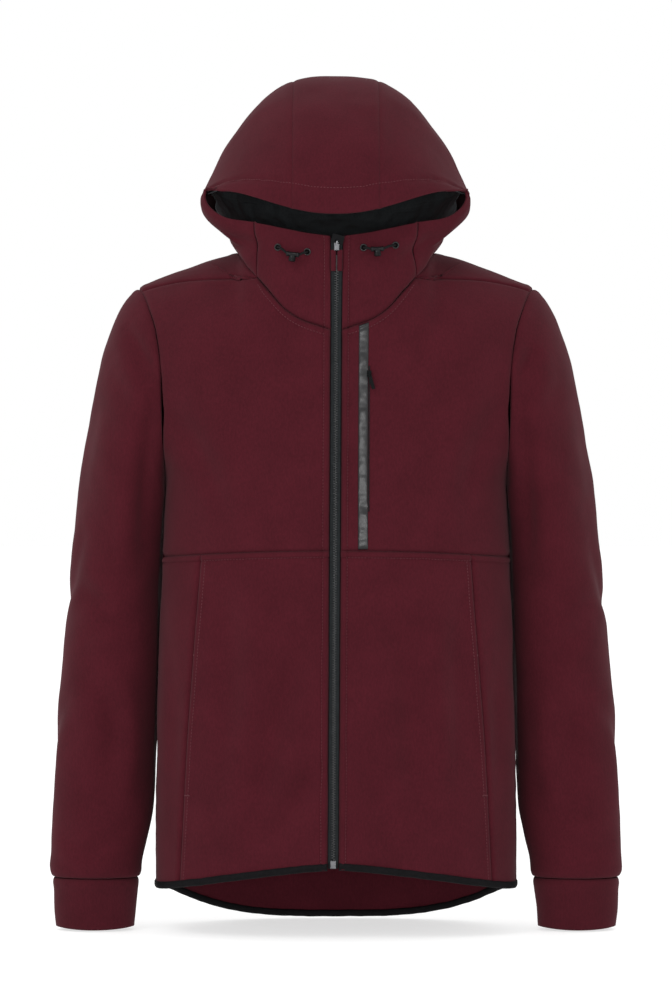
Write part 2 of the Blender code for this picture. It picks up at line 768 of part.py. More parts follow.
def tube(name, route, radius, look, sides=2):
    """A cord or bar along points of its route."""
    data = bpy.data.curves.new(name, "CURVE")
    data.dimensions = "3D"
    data.bevel_depth = radius
    data.bevel_resolution = sides
    data.use_fill_caps = True
    spline = data.splines.new("POLY")
    spline.points.add(len(route) - 1)
    for point, place in zip(spline.points, route):
        point.co = (*place, 1)
    return add_object(name, data, look)


def rounded_block(name, size, frame, look, bevel):
    """A block with rounded edges, about the middle of its frame."""
    bpy.ops.mesh.primitive_cube_add(size=1)
    made = bpy.context.object
    made.name = name
    made.data.transform(Matrix.Diagonal((*size, 1)))
    made.data.transform(frame)
    made.data.materials.append(look)
    for holder in made.users_collection:
        holder.objects.unlink(made)
    HOODIE.objects.link(made)
    rounding = made.modifiers.new("rounded", "BEVEL")
    rounding.width = bevel
    rounding.segments = 2
    return made


def cylinder(name, radius, length, frame, look, sides=20):
    """A cylinder along the frame's Z."""
    bpy.ops.mesh.primitive_cylinder_add(radius=radius, depth=length, vertices=sides)
    made = bpy.context.object
    made.name = name
    made.data.transform(frame)
    made.data.materials.append(look)
    for holder in made.users_collection:
        holder.objects.unlink(made)
    HOODIE.objects.link(made)
    return made


def cut(target, tool, operation="DIFFERENCE"):
    """Cuts the target with the tool, or joins them, and puts the tool among the cutters."""
    change = target.modifiers.new(tool.name, "BOOLEAN")
    change.operation = operation
    change.object = tool
    HOODIE.objects.unlink(tool)
    CUTTERS.objects.link(tool)
    tool.hide_render = True
    tool.display_type = "WIRE"


def frame_on(place, out, up):
    """Axes at a place: X across, Y into the cloth, and Z up it."""
    y = -Vector(out).normalized()
    x = y.cross(Vector(up)).normalized()
    z = x.cross(y)
    turned = Matrix((x, y, z)).transposed().to_4x4()
    return Matrix.Translation(Vector(place)) @ turned


# ---------------------------------------------------------------- pieces


def build_skin():
    """Every cloth panel's faces on one skin, and the grids that other pieces are made from."""
    skin = Skin()
    grids = {}
    chest = HEM_ROWS
    armpit = HEM_ROWS + CHEST_ROWS
    for side, sign in SIDES.items():
        front = body_lines(sign, FRONT_LINES, True)
        back = body_lines(sign, BACK_LINES, False)
        back[-1][: armpit + 1] = front[-1][: armpit + 1]
        back[BACK_NECK_LINE:, -1] = front[NECK_LINE:, -1]
        middle = np.array([0.0, 0.0, -0.35])
        skin.add(f"front_lower_{side}", front[: SIDE_FRONT_LINE + 1, : chest + 1], middle)
        skin.add(f"side_front_{side}", front[SIDE_FRONT_LINE:, : chest + 1], middle)
        skin.add(f"front_upper_{side}", front[:, chest:], middle)
        skin.add("back", back, middle)
        loop = armhole_loop(front, back)
        sleeve, angles = sleeve_grid(loop, sign)
        cuff = cuff_grid(sleeve[-1], angles, sign)
        inside = np.array([sign * 0.25, 0.015, -0.35])
        skin.add(f"sleeve_{side}", sleeve, inside, closed=True)
        inside = np.array([sign * 0.26, 0.002, -0.70])
        skin.add(f"cuff_{side}", cuff, inside, closed=True)
        chin, lower, crown, strip, strip_low, smooth = hood_grids(sign, front, back)
        inside = np.array([0.0, -0.02, 0.03])
        skin.add(f"hood_chin_{side}", chin, inside)
        skin.add(f"hood_side_{side}", lower, inside)
        skin.add(f"hood_side_{side}", crown, inside)
        skin.add("hood_centre", strip, inside)
        skin.add("hood_centre", strip_low, inside)
        grids[side] = {"front": front, "back": back, "chin": chin, "lower": lower,
                       "crown": crown, "strip": strip, "strip_low": strip_low, "smooth": smooth}
    skin.finish()
    return skin, grids


def build_panels(skin):
    shown = {}
    for name, faces in skin.panels.items():
        inward = skin.inward(faces)
        gap = FRONT_GAP if name.startswith("front_upper") else SEAM_GAP / 2
        points = drawn_back(skin.points, faces, gap)
        look = CLOTH if not name.startswith("cuff") else CUFF_CLOTH
        shown[name] = wall(name, points, faces, inward, WALL, look)
    return shown


def build_lining(grids):
    """The dark lining inside the hood, from a hem's width behind the brim down to the neck."""
    lining = Skin()
    inside = np.array([0.0, -0.02, 0.03])
    for parts in grids.values():
        lining.add("lining", parts["chin"][:, :-1], inside)
        to_lobe = 2 * (BACK_NECK_LINE - RIDGE_LINE)
        lining.add("lining", parts["smooth"][: to_lobe + 2, :-1], inside)
        lining.add("lining", parts["smooth"][to_lobe + 1 :], inside)
        lining.add("lining", parts["crown"][1:], inside)
        lining.add("lining", parts["strip"][1:], inside)
        lining.add("lining", parts["strip_low"], inside)
    lining.finish()
    faces = lining.panels["lining"]
    inward = -lining.all
    points = drawn_back(lining.points + inward * LINING_DEPTH, faces, LINING_TRIM)
    return wall("hood_lining", points, faces, inward, LINING_WALL, LINING)


def build_binding(grids, skin):
    """A folded band over the hem's edge, from the zip round the back to the zip."""
    line = []
    above = []
    for side, order in (("R", 1), ("L", -1)):
        front = grids[side]["front"]
        back = grids[side]["back"]
        lines = list(front[:, :2]) + list(back[::-1, :2])[1:]
        lines = lines if order > 0 else lines[::-1][1:]
        line += [pair[0] for pair in lines]
        above += [pair[1] for pair in lines]
    corners = []
    profile = ((BINDING_OUT, BINDING_UP), (BINDING_OUT, -BINDING_DROP),
               (-BINDING_IN, -BINDING_DROP), (-BINDING_IN, BINDING_UP),
               (-WALL - LAY, BINDING_UP), (-WALL - LAY, -LAY), (LAY, -LAY), (LAY, BINDING_UP))
    for place, upper in zip(line, above):
        out = skin.all[skin.place(place)]
        up = upper - place
        up /= np.linalg.norm(up)
        out = out - up * (out @ up)
        out /= np.linalg.norm(out)
        corners.append([place + out * a + up * b for a, b in profile])
    sides = len(profile)
    count = len(corners)
    faces = []
    for i in range(count - 1):
        for j in range(sides):
            k = (j + 1) % sides
            faces.append([i * sides + j, i * sides + k, (i + 1) * sides + k, (i + 1) * sides + j])
    for i in (0, count - 1):
        first = i * sides
        ring = ((0, 1, 6, 7), (1, 2, 5, 6), (2, 3, 4, 5))
        faces += [[first + j for j in (part if i else part[::-1])] for part in ring]
    add_mesh("hem_binding", np.concatenate(corners), faces, BINDING)


def rows_between(heights, low, high):
    """Places along rising rows, in rows and parts of a row, from one height to another."""
    rows = np.arange(len(heights))
    ends = np.interp([low, high], heights, rows)
    return np.array([ends[0], *[i for i in rows if ends[0] + 0.1 < i < ends[1] - 0.1], ends[1]])


def at_rows(line, rows):
    return np.stack([np.interp(rows, np.arange(len(line)), line[:, i]) for i in range(3)], axis=1)


def zip_edges(grids):
    """The two edges beside the zip, from the hem to the hood's rim."""
    edges = []
    for side in ("R", "L"):
        edges.append(np.vstack([grids[side]["front"][0], grids[side]["chin"][0][1:]]))
    return edges


def strip_of(edges, low, high, from_share, to_share):
    """The lines at two shares of the way across the zip, between two heights."""
    heights = (edges[0][:, 2] + edges[1][:, 2]) / 2
    rows = rows_between(heights, low, high)
    right, left = at_rows(edges[0], rows), at_rows(edges[1], rows)
    return mix(right, left, from_share), mix(right, left, to_share)


def build_zip(grids):
    edges = zip_edges(grids)
    foot = HEM_FRONT_Z + 0.0010
    names = {"zip_tape_R": (0.04, 0.490), "zip_tape_L": (0.510, 0.96)}
    for name, (start, end) in names.items():
        right, left = strip_of(edges, foot, ZIP_HEAD_Z, start, end)
        ribbon(name, right, left, TAPE_LOW, TAPE_HIGH, ZIP_BLACK)
    right, left = strip_of(edges, foot + BOX_HEIGHT + 0.001, SLIDER_Z - SLIDER_HEIGHT / 2 - 0.0006,
                           0.38, 0.62)
    ribbon("zip_coil", right, left, TAPE_HIGH + LAY, COIL_HIGH, ZIP_BLACK)
    spans = {"zip_garage_R": (0.02, 0.465), "zip_garage_L": (0.535, 0.98)}
    for name, (start, end) in spans.items():
        right, left = strip_of(edges, GARAGE_FOOT_Z, SLIDER_Z - SLIDER_HEIGHT / 2 - 0.0008, start, end)
        ribbon(name, right, left, COIL_HIGH + LAY, GARAGE_HIGH, CLOTH)
    low_frame = zip_frame(edges, foot + BOX_HEIGHT / 2, TAPE_HIGH + LAY + BOX_DEPTH / 2)
    rounded_block("zip_box", (BOX_WIDTH, BOX_DEPTH, BOX_HEIGHT), low_frame, STEEL, 0.0005)
    frame = zip_frame(edges, SLIDER_Z, TAPE_HIGH + LAY + SLIDER_DEPTH / 2)
    slider = rounded_block("zip_slider", (SLIDER_WIDTH, SLIDER_DEPTH, SLIDER_HEIGHT), frame, STEEL,
                           0.0008)
    tilt = Matrix.Rotation(MAIN_PULL_TILT, 4, "Y")
    pivot = zip_frame(edges, MAIN_PIVOT_Z, PIVOT_OUT) @ tilt
    build_pull("zip_pull", pivot, MAIN_PULL, PULL_METAL)
    build_bridge(slider, pivot, MAIN_PULL, TAPE_HIGH + LAY + SLIDER_DEPTH, PIVOT_OUT)


def zip_frame(edges, z, out):
    """Axes on the zip's middle at a height, this far out of it."""
    heights = (edges[0][:, 2] + edges[1][:, 2]) / 2
    middle = (edges[0] + edges[1]) / 2
    row = np.interp(z, heights, np.arange(len(heights)))
    low, high = at_rows(middle, [int(row), int(row) + 1])
    place = at_rows(middle, [row])[0]
    up = Vector(high - low).normalized()
    outward = Vector((0, -1, 0))
    outward = (outward - up * outward.dot(up)).normalized()
    return frame_on(Vector(place) + outward * out, outward, up)


def build_pull(name, pivot, sizes, look):
    """A flat tab that hangs on its slider's bridge by a crossbar, which lies on the pivot frame's
    X. It reaches along the frame's Z, up or down by the sign of its reach."""
    sign = math.copysign(1, sizes["reach"])
    bar = sizes["crossbar"]
    length = abs(sizes["reach"]) + bar / 2
    body = pivot @ Matrix.Translation((0, 0, sign * (length - bar) / 2))
    tab = rounded_block(name, (sizes["width"], sizes["thick"], length), body, look, sizes["round"])
    slot = pivot @ Matrix.Translation((0, 0, sign * (bar + sizes["slot_length"]) / 2))
    hole = rounded_block(f"{name}_slot", (sizes["slot_width"], 0.01, sizes["slot_length"]), slot,
                         look, sizes["round"])
    cut(tab, hole)
    return tab


def build_bridge(slider, pivot, sizes, slider_face, pivot_out):
    """The slider's bridge: a staple over the pull's crossbar, joined to the slider."""
    thick = sizes["bridge_thick"]
    span = sizes["bridge_span"]
    outer = sizes["crossbar"] / 2 + sizes["bridge_room"] + thick
    root = pivot_out - slider_face + BRIDGE_ROOT
    body = pivot @ Matrix.Translation((0, (root - outer) / 2, 0))
    size = (sizes["bridge_width"], root + outer, span)
    staple = rounded_block(f"{slider.name}_bridge", size, body, STEEL, thick / 4)
    room = pivot @ Matrix.Translation((0, root, 0))
    hollow = (0.02, 2 * (root + outer - thick), span - 2 * thick)
    cut(staple, rounded_block(f"{slider.name}_room", hollow, room, STEEL, thick / 4))
    cut(slider, staple, "UNION")


def build_chest(grids):
    """The tape down the left chest, the pocket's zip beside it, its slider and its pull."""
    front = grids["L"]["front"][:, HEM_ROWS:]
    first, last = (front[i] for i in TAPE_LINES)
    inset = 0.0015
    heights = (first[:, 2] + last[:, 2]) / 2
    rows = rows_between(heights, heights[0] + inset, heights[-1] - inset)
    ribbon("chest_tape", at_rows(first, rows), at_rows(last, rows), LAY, LAY + TAPE_THICK, GLOSS)
    near, far = (front[i] for i in POCKET_ZIP_LINES)
    near = mix(near, far, 0.20)
    heights = (near[:, 2] + far[:, 2]) / 2
    rows = rows_between(heights, POCKET_FOOT_Z, POCKET_HEAD_Z)
    near_line, far_line = at_rows(near, rows), at_rows(far, rows)
    ribbon("chest_zip", near_line, far_line, LAY, LAY + TAPE_THICK, ZIP_BLACK)
    row = np.interp(CHEST_SLIDER_Z, heights, np.arange(len(heights)))
    low, high = at_rows((near + far) / 2, [int(row), int(row) + 1])
    place = at_rows((near + far) / 2, [row])[0]
    across_line = at_rows(far, [row])[0] - at_rows(near, [row])[0]
    up = Vector(high - low).normalized()
    outward = Vector(across_line).cross(up).normalized()
    outward = -outward if outward.y > 0 else outward
    base = frame_on(Vector(place), outward, up)
    slider_low = LAY + TAPE_THICK + LAY
    body = base @ Matrix.Translation((0, -slider_low - SMALL_SLIDER[1] / 2, 0))
    slider = rounded_block("chest_slider", SMALL_SLIDER, body, STEEL, 0.0005)
    tilt = Matrix.Rotation(CHEST_PULL_TILT, 4, "Y")
    pivot = base @ Matrix.Translation((0, -PIVOT_OUT_CHEST, CHEST_PIVOT_UP)) @ tilt
    build_pull("chest_pull", pivot, CHEST_PULL, PULL_METAL)
    slider_face = slider_low + SMALL_SLIDER[1]
    build_bridge(slider, pivot, CHEST_PULL, slider_face, PIVOT_OUT_CHEST)


def surface_finder(panel):
    """The panel's outer face, for finding where a small piece lies on it."""
    tree = BVHTree.FromPolygons([v.co for v in panel.data.vertices],
                                [tuple(p.vertices) for p in panel.data.polygons])

    def find(x, z):
        place, out, _, _ = tree.ray_cast(Vector((x, -1, z)), Vector((0, 1, 0)))
        return place, out

    return find


def build_cords(shown):
    """Eyelets on the chin panels, and a cord from one to the other through its lock."""
    for side, row in zip(SIDES, CORD_ROWS):
        find = surface_finder(shown[f"hood_chin_{side}"])
        for number, (x, z) in enumerate(((row["x_0"], row["z_0"]), (row["x_1"], row["z_1"]))):
            place, out = find(x, z)
            bpy.ops.mesh.primitive_torus_add(major_radius=EYELET_RADIUS, minor_radius=EYELET_TUBE,
                                             major_segments=20, minor_segments=6)
            ring = bpy.context.object
            ring.name = f"eyelet_{side}_{number}"
            lift = LAY + EYELET_TUBE
            ring.data.transform(frame_on(place + out * lift, out, (0, 0, 1))
                                @ Matrix.Rotation(math.pi / 2, 4, "X"))
            ring.data.materials.append(PULL_METAL)
            for holder in ring.users_collection:
                holder.objects.unlink(ring)
            HOODIE.objects.link(ring)
        route = [Vector(point) for point in row["route"]]
        line = trace(route, np.linspace(0, 1, CORD_STEPS))
        tube(f"drawcord_{side}", line, CORD_RADIUS, CORD)
        build_lock(side, Vector(row["lock"]), Vector(row["lock_along"]).normalized())


def build_lock(side, place, along):
    """A cord lock: a barrel that the cord runs through, with its spring button below."""
    down = Vector((0, 0, -1))
    down = (down - along * down.dot(along)).normalized()
    frame = Matrix.Translation(place) @ up_frame(along)
    barrel = cylinder(f"cord_lock_{side}", LOCK_RADIUS, LOCK_LENGTH, frame, PLASTIC)
    stem = cylinder(f"cord_lock_stem_{side}", LOCK_RADIUS * 0.95, LOCK_DROP,
                    Matrix.Translation(place + down * LOCK_DROP / 2) @ up_frame(down), PLASTIC, 16)
    cut(barrel, stem, "UNION")
    bore = cylinder(f"cord_lock_bore_{side}", CORD_RADIUS + 0.00055, 0.03, frame, PLASTIC, 12)
    cut(barrel, bore)


def up_frame(axis):
    return axis.to_track_quat("Z", "Y").to_matrix().to_4x4()


clear_scene()
HOODIE = collection("zip_hoodie")
CUTTERS = collection("cutters")
CLOTH = material("burgundy_fleece", (0.078, 0.013, 0.019), 0.85)
CUFF_CLOTH = material("burgundy_cuff", (0.068, 0.012, 0.017), 0.85)
LINING = material("black_lining", (0.012, 0.012, 0.013), 0.8)
BINDING = material("black_binding", (0.010, 0.010, 0.011), 0.7)
ZIP_BLACK = material("black_zip_tape", (0.022, 0.024, 0.026), 0.6)
GLOSS = material("gloss_tape", (0.05, 0.05, 0.055), 0.3)
STEEL = material("dark_steel", (0.10, 0.10, 0.11), 0.35, 1.0)
PULL_METAL = material("painted_pull", (0.03, 0.03, 0.032), 0.4, 0.6)
PLASTIC = material("black_plastic", (0.012, 0.012, 0.013), 0.45)
CORD = material("black_cord", (0.010, 0.010, 0.011), 0.8)

SKIN, GRIDS = build_skin()
SHOWN = build_panels(SKIN)
build_lining(GRIDS)
build_binding(GRIDS, SKIN)
build_zip(GRIDS)
build_chest(GRIDS)
build_cords(SHOWN)
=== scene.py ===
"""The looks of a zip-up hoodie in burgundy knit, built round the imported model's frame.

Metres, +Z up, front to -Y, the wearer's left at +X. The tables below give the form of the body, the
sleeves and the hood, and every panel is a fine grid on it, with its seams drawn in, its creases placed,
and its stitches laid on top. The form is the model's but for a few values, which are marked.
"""

import math

import bpy
import numpy as np
from mathutils import Matrix, Vector, noise
from mathutils.bvhtree import BVHTree
from mathutils.kdtree import KDTree


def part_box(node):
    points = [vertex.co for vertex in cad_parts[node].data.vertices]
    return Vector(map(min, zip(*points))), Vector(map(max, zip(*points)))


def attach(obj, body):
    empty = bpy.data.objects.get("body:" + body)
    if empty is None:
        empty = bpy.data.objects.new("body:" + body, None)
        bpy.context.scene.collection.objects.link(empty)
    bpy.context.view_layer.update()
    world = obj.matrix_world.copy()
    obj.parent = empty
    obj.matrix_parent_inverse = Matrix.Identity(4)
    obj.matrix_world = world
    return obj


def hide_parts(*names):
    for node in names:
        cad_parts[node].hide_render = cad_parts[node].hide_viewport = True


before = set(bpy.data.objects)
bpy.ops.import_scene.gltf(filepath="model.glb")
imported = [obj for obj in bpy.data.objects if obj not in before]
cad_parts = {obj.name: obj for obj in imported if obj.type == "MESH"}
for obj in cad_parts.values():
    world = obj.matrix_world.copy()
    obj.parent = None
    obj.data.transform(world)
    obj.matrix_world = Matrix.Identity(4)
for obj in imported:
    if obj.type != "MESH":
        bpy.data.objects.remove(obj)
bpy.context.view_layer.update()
SIDES = {"L": 1, "R": -1}
BODY = "hoodie"

# ---------------------------------------------------------------- sizes, as in the model

WALL = 0.0021
ARMPIT_Z = -0.250
CHEST_Z = -0.3234
CHEST_DROP = 0.007
HEM_FRONT_Z = -0.6580
HEM_FRONT_DROP = 0.0275
HEM_BACK_Z = -0.7305
HEM_BACK_RISE = 0.0450
HALF_HEM = 0.194
CUFF_TOP_Z = -0.6770
CUFF_FOOT_Z = -0.7290
ZIP_HALF = 0.0060
ZIP_TOP_X = 0.0008
ZIP_FOOT_X = -0.0030
ZIP_HEAD_Z = 0.0050
GARAGE_FOOT_Z = -0.0290
SECTION_POWER = 2.5
SHOULDER_ROUND = 0.115
ARMHOLE_ROWS = 9
ARMHOLE_EASE = 0.6
STRIP_HALF = 0.046

# ---------------------------------------------------------------- sizes of the looks alone

CELL = 0.0044
HOOD_CELL = 0.0029
SLEEVE_ROUND = 150
SLEEVE_FULL = 0.0012
LINING_WALL = 0.0009
# How far a sleeve keeps off the body below the armpit: at its top, growing with the drop, to the most
SLEEVE_CLEAR = (0.0008, 0.06, 0.0030)
# The rings over which the sleeve leaves the armhole's own outline, and a first guess at the hole's x
ARMHOLE_FADE = 6
ARMHOLE_GUESS = 0.19
# How far the cuff's foot sags at its middle
CUFF_BOW = 0.003
CUFF_MIDDLE_X = 0.260
CUFF_HALF = 0.043
# Where the grid's points lie beside a seam
NEAR_SEAM = (0.0, 0.0009, 0.0019, 0.0034, 0.0050, 0.0062, 0.0070, 0.0078, 0.0092)
SEAM_TUCK = 0.0019
# Places round the hood's side, in half lines: to the lobe, and on to the strip
TO_LOBE = 4
HOOD_RIBS = 8
LOBE_POWER = 1.3
BEHIND_LOBE_POWER = 0.6
# The slow unevenness of all cloth: heights and the sizes of its bumps
UNEVEN = ((0.0011, 0.055), (0.0004, 0.021))
# Beside a seam: how far off the cloth is fullest, over what width, and the size of its puckers
FULL_OFF_SEAM = 0.0065
FULL_WIDTH = 0.0045
PUCKER_SIZE = 0.012
TUCK_WIDTH = 0.0017
CALM_BY_SEAM = 0.02
# Each view's two axes, the axis towards the eye and its sign
VIEWS = {"front": (0, 2, 1, -1), "back": (0, 2, 1, 1), "left": (1, 2, 0, 1),
         "right": (1, 2, 0, -1), "top": (0, 1, 2, 1)}
BEHIND = np.array([0.0, 1.0, -0.3])
MIDDLE = np.array([0.0, 0.0, -0.35])
HOOD_MIDDLE = np.array([0.0, -0.02, 0.03])
# The finished panels, by name
SHEETS = {}

# Topstitching: how far each row is from its seam, and the raised cloth between the two
TOPSTITCH = 0.0070
HOOD_TUCK = 0.0007
HOOD_PUFF = 0.0002
CUFF_TUCK = 0.0010
BAND_RISE = 0.00095
BAND_GROOVE = 0.00160
GROOVE_WIDTH = 0.0009
LINE_GROOVE_WIDTH = 0.0016
LINE_PUFF_OFF = 0.005
LINE_PUFF_WIDTH = 0.003
BRIM_HEM_MIDDLE = 0.027
BRIM_HEM_LOBE = 0.012
# Stitches: pitch, length and radius, and the rings of each: share along, fullness and lift
STITCH = (0.0034, 0.0026, 0.00036)
STITCH_BLACK = (0.0032, 0.0024, 0.00030)
BARTACK = (0.0008, 0.0011, 0.0008)
STITCH_SIDES = 6
STITCH_RINGS = ((0.0, 0.35, -0.9), (0.18, 0.85, -0.1), (0.5, 1.0, 0.25), (0.82, 0.85, -0.1),
                (1.0, 0.35, -0.9))
# Bartacks on the pocket seams: the height, and the reach towards the zip
BARTACKS = ((-0.434, 0.0030), (-0.583, 0.0095))

# Lining, binding, zip and tape
LINING_TOP_SHARE = 0.80
LINING_DEPTH = 0.0045
LINING_SAG = 0.0075
LINING_RIPPLE = 0.0028
# Out of the cloth's face, up from the hem, and how much of the puckering each point takes
BINDING_PROFILE = (
    (0.0002, 0.0066, 0.0), (0.0010, 0.0065, 0.0002), (0.0014, 0.0050, 0.0004), (0.0015, 0.0030, 0.0004),
    (0.0012, 0.0008, 0.0003), (0.0004, -0.0007, 0.0), (-0.0010, -0.0011, 0.0), (-0.0026, -0.0007, 0.0),
    (-0.0034, 0.0010, 0.0003), (-0.0035, 0.0035, 0.0003), (-0.0032, 0.0060, 0.0002), (-0.0024, 0.0066, 0.0),
)
BINDING_STITCH_UP = 0.0053
BINDING_STITCH_OUT = 0.0016
BINDING_STEP = 0.0022
BINDING_WALL = 0.0007
# Across half the zip, from its middle: shares of the gap and heights out of it
TAPE_PROFILE = ((0.47, -0.0009), (0.40, -0.0002), (0.30, -0.0002), (0.22, -0.0002), (0.15, -0.0002),
                (0.012, -0.0008))
GARAGE_PROFILE = ((0.48, 0.0002), (0.46, 0.0013), (0.38, 0.0021), (0.26, 0.0023), (0.14, 0.0020),
                  (0.06, 0.0012), (0.045, 0.0002))
ZIP_FOOT_RISE = 0.001
BOX_HEIGHT = 0.010
COIL_PITCH = 0.0013
COIL_LIFT = -0.0001
COIL_THICK = 0.00045
SLIDER_FOOT_Z = -0.0130
GARAGE_TOP_Z = -0.0068
TAPE_LIFT = 0.0004
TAPE_WAVE = 0.0006
TAPE_CRINKLE = 0.00022
TAPE_STEP = 0.0012
POCKET_HEAD_Z = -0.1285
POCKET_FOOT_Z = -0.2820
POCKET_DIP = (0.0006, 0.0009, 0.0003, 0.0009, 0.0006)

NECK_ALLOWANCE_IN = 0.0042
NECK_ALLOWANCE_HALF = 0.0050
NECK_ALLOWANCE_WALL = 0.0006
NECK_MIDDLE = np.array([0.0, -0.02, 0.0])

# Cords
EYELET_RADIUS = 0.0031
EYELET_TUBE = 0.00078
CORD_RADIUS = 0.00135
CORD_STEPS = 60
BRAID_PITCH = 0.0034
BRAID_SIDES = 24
LOCK_RADIUS = 0.0027
LOCK_LENGTH = 0.0132
LOCK_DROP = 0.0078

# Creases: the side that each is seen from, its path there in metres, its depth out of the cloth
# (below 0 is a trough), and its width
BODY_CREASES = (
    ("front", ((-0.182, -0.165), (-0.150, -0.215), (-0.118, -0.290)), -0.0042, 0.013),
    ("front", ((-0.176, -0.205), (-0.140, -0.262), (-0.128, -0.315)), 0.0018, 0.010),
    ("front", ((-0.105, -0.130), (-0.092, -0.200), (-0.060, -0.262)), -0.0012, 0.016),
    ("front", ((0.180, -0.160), (0.150, -0.220), (0.135, -0.300)), -0.0044, 0.013),
    ("front", ((0.172, -0.215), (0.142, -0.270), (0.104, -0.312)), 0.0016, 0.011),
    ("front", ((0.120, -0.120), (0.104, -0.185), (0.080, -0.240)), -0.0012, 0.017),
    ("front", ((-0.024, -0.395), (-0.052, -0.470), (-0.070, -0.530), (-0.082, -0.645)), -0.0060, 0.014),
    ("front", ((-0.015, -0.540), (-0.044, -0.590), (-0.066, -0.630)), -0.0046, 0.012),
    ("front", ((-0.128, -0.350), (-0.112, -0.440), (-0.118, -0.560)), -0.0030, 0.015),
    ("front", ((-0.080, -0.345), (-0.088, -0.430), (-0.100, -0.520)), 0.0026, 0.016),
    ("front", ((0.040, -0.350), (0.070, -0.430), (0.082, -0.520), (0.078, -0.620)), -0.0056, 0.014),
    ("front", ((0.100, -0.350), (0.114, -0.440), (0.104, -0.590)), 0.0028, 0.016),
    ("front", ((0.134, -0.360), (0.126, -0.450), (0.136, -0.550)), -0.0026, 0.012),
    ("front", ((0.024, -0.520), (0.048, -0.580), (0.060, -0.640)), -0.0044, 0.012),
    ("front", ((-0.180, -0.400), (-0.172, -0.500), (-0.178, -0.600)), -0.0016, 0.008),
    ("front", ((0.181, -0.390), (0.172, -0.490), (0.178, -0.610)), -0.0017, 0.008),
    ("back", ((-0.180, -0.150), (-0.130, -0.230), (-0.100, -0.330)), -0.0026, 0.014),
    ("back", ((-0.170, -0.230), (-0.128, -0.310), (-0.120, -0.420)), 0.0020, 0.013),
    ("back", ((0.178, -0.155), (0.136, -0.240), (0.096, -0.320)), -0.0024, 0.013),
    ("back", ((0.172, -0.245), (0.124, -0.330), (0.128, -0.450)), 0.0019, 0.014),
    ("back", ((-0.060, -0.080), (0.000, -0.105), (0.066, -0.084)), -0.0018, 0.014),
    ("back", ((-0.080, -0.380), (-0.058, -0.500), (-0.078, -0.660)), -0.0024, 0.017),
    ("back", ((0.010, -0.420), (0.026, -0.540), (0.006, -0.680)), 0.0019, 0.018),
    ("back", ((0.092, -0.390), (0.080, -0.520), (0.104, -0.640)), -0.0023, 0.016),
    ("left", ((-0.030, -0.300), (0.000, -0.420), (-0.020, -0.560)), -0.0020, 0.012),
    ("right", ((-0.020, -0.290), (0.008, -0.430), (-0.012, -0.580)), -0.0020, 0.012),
)
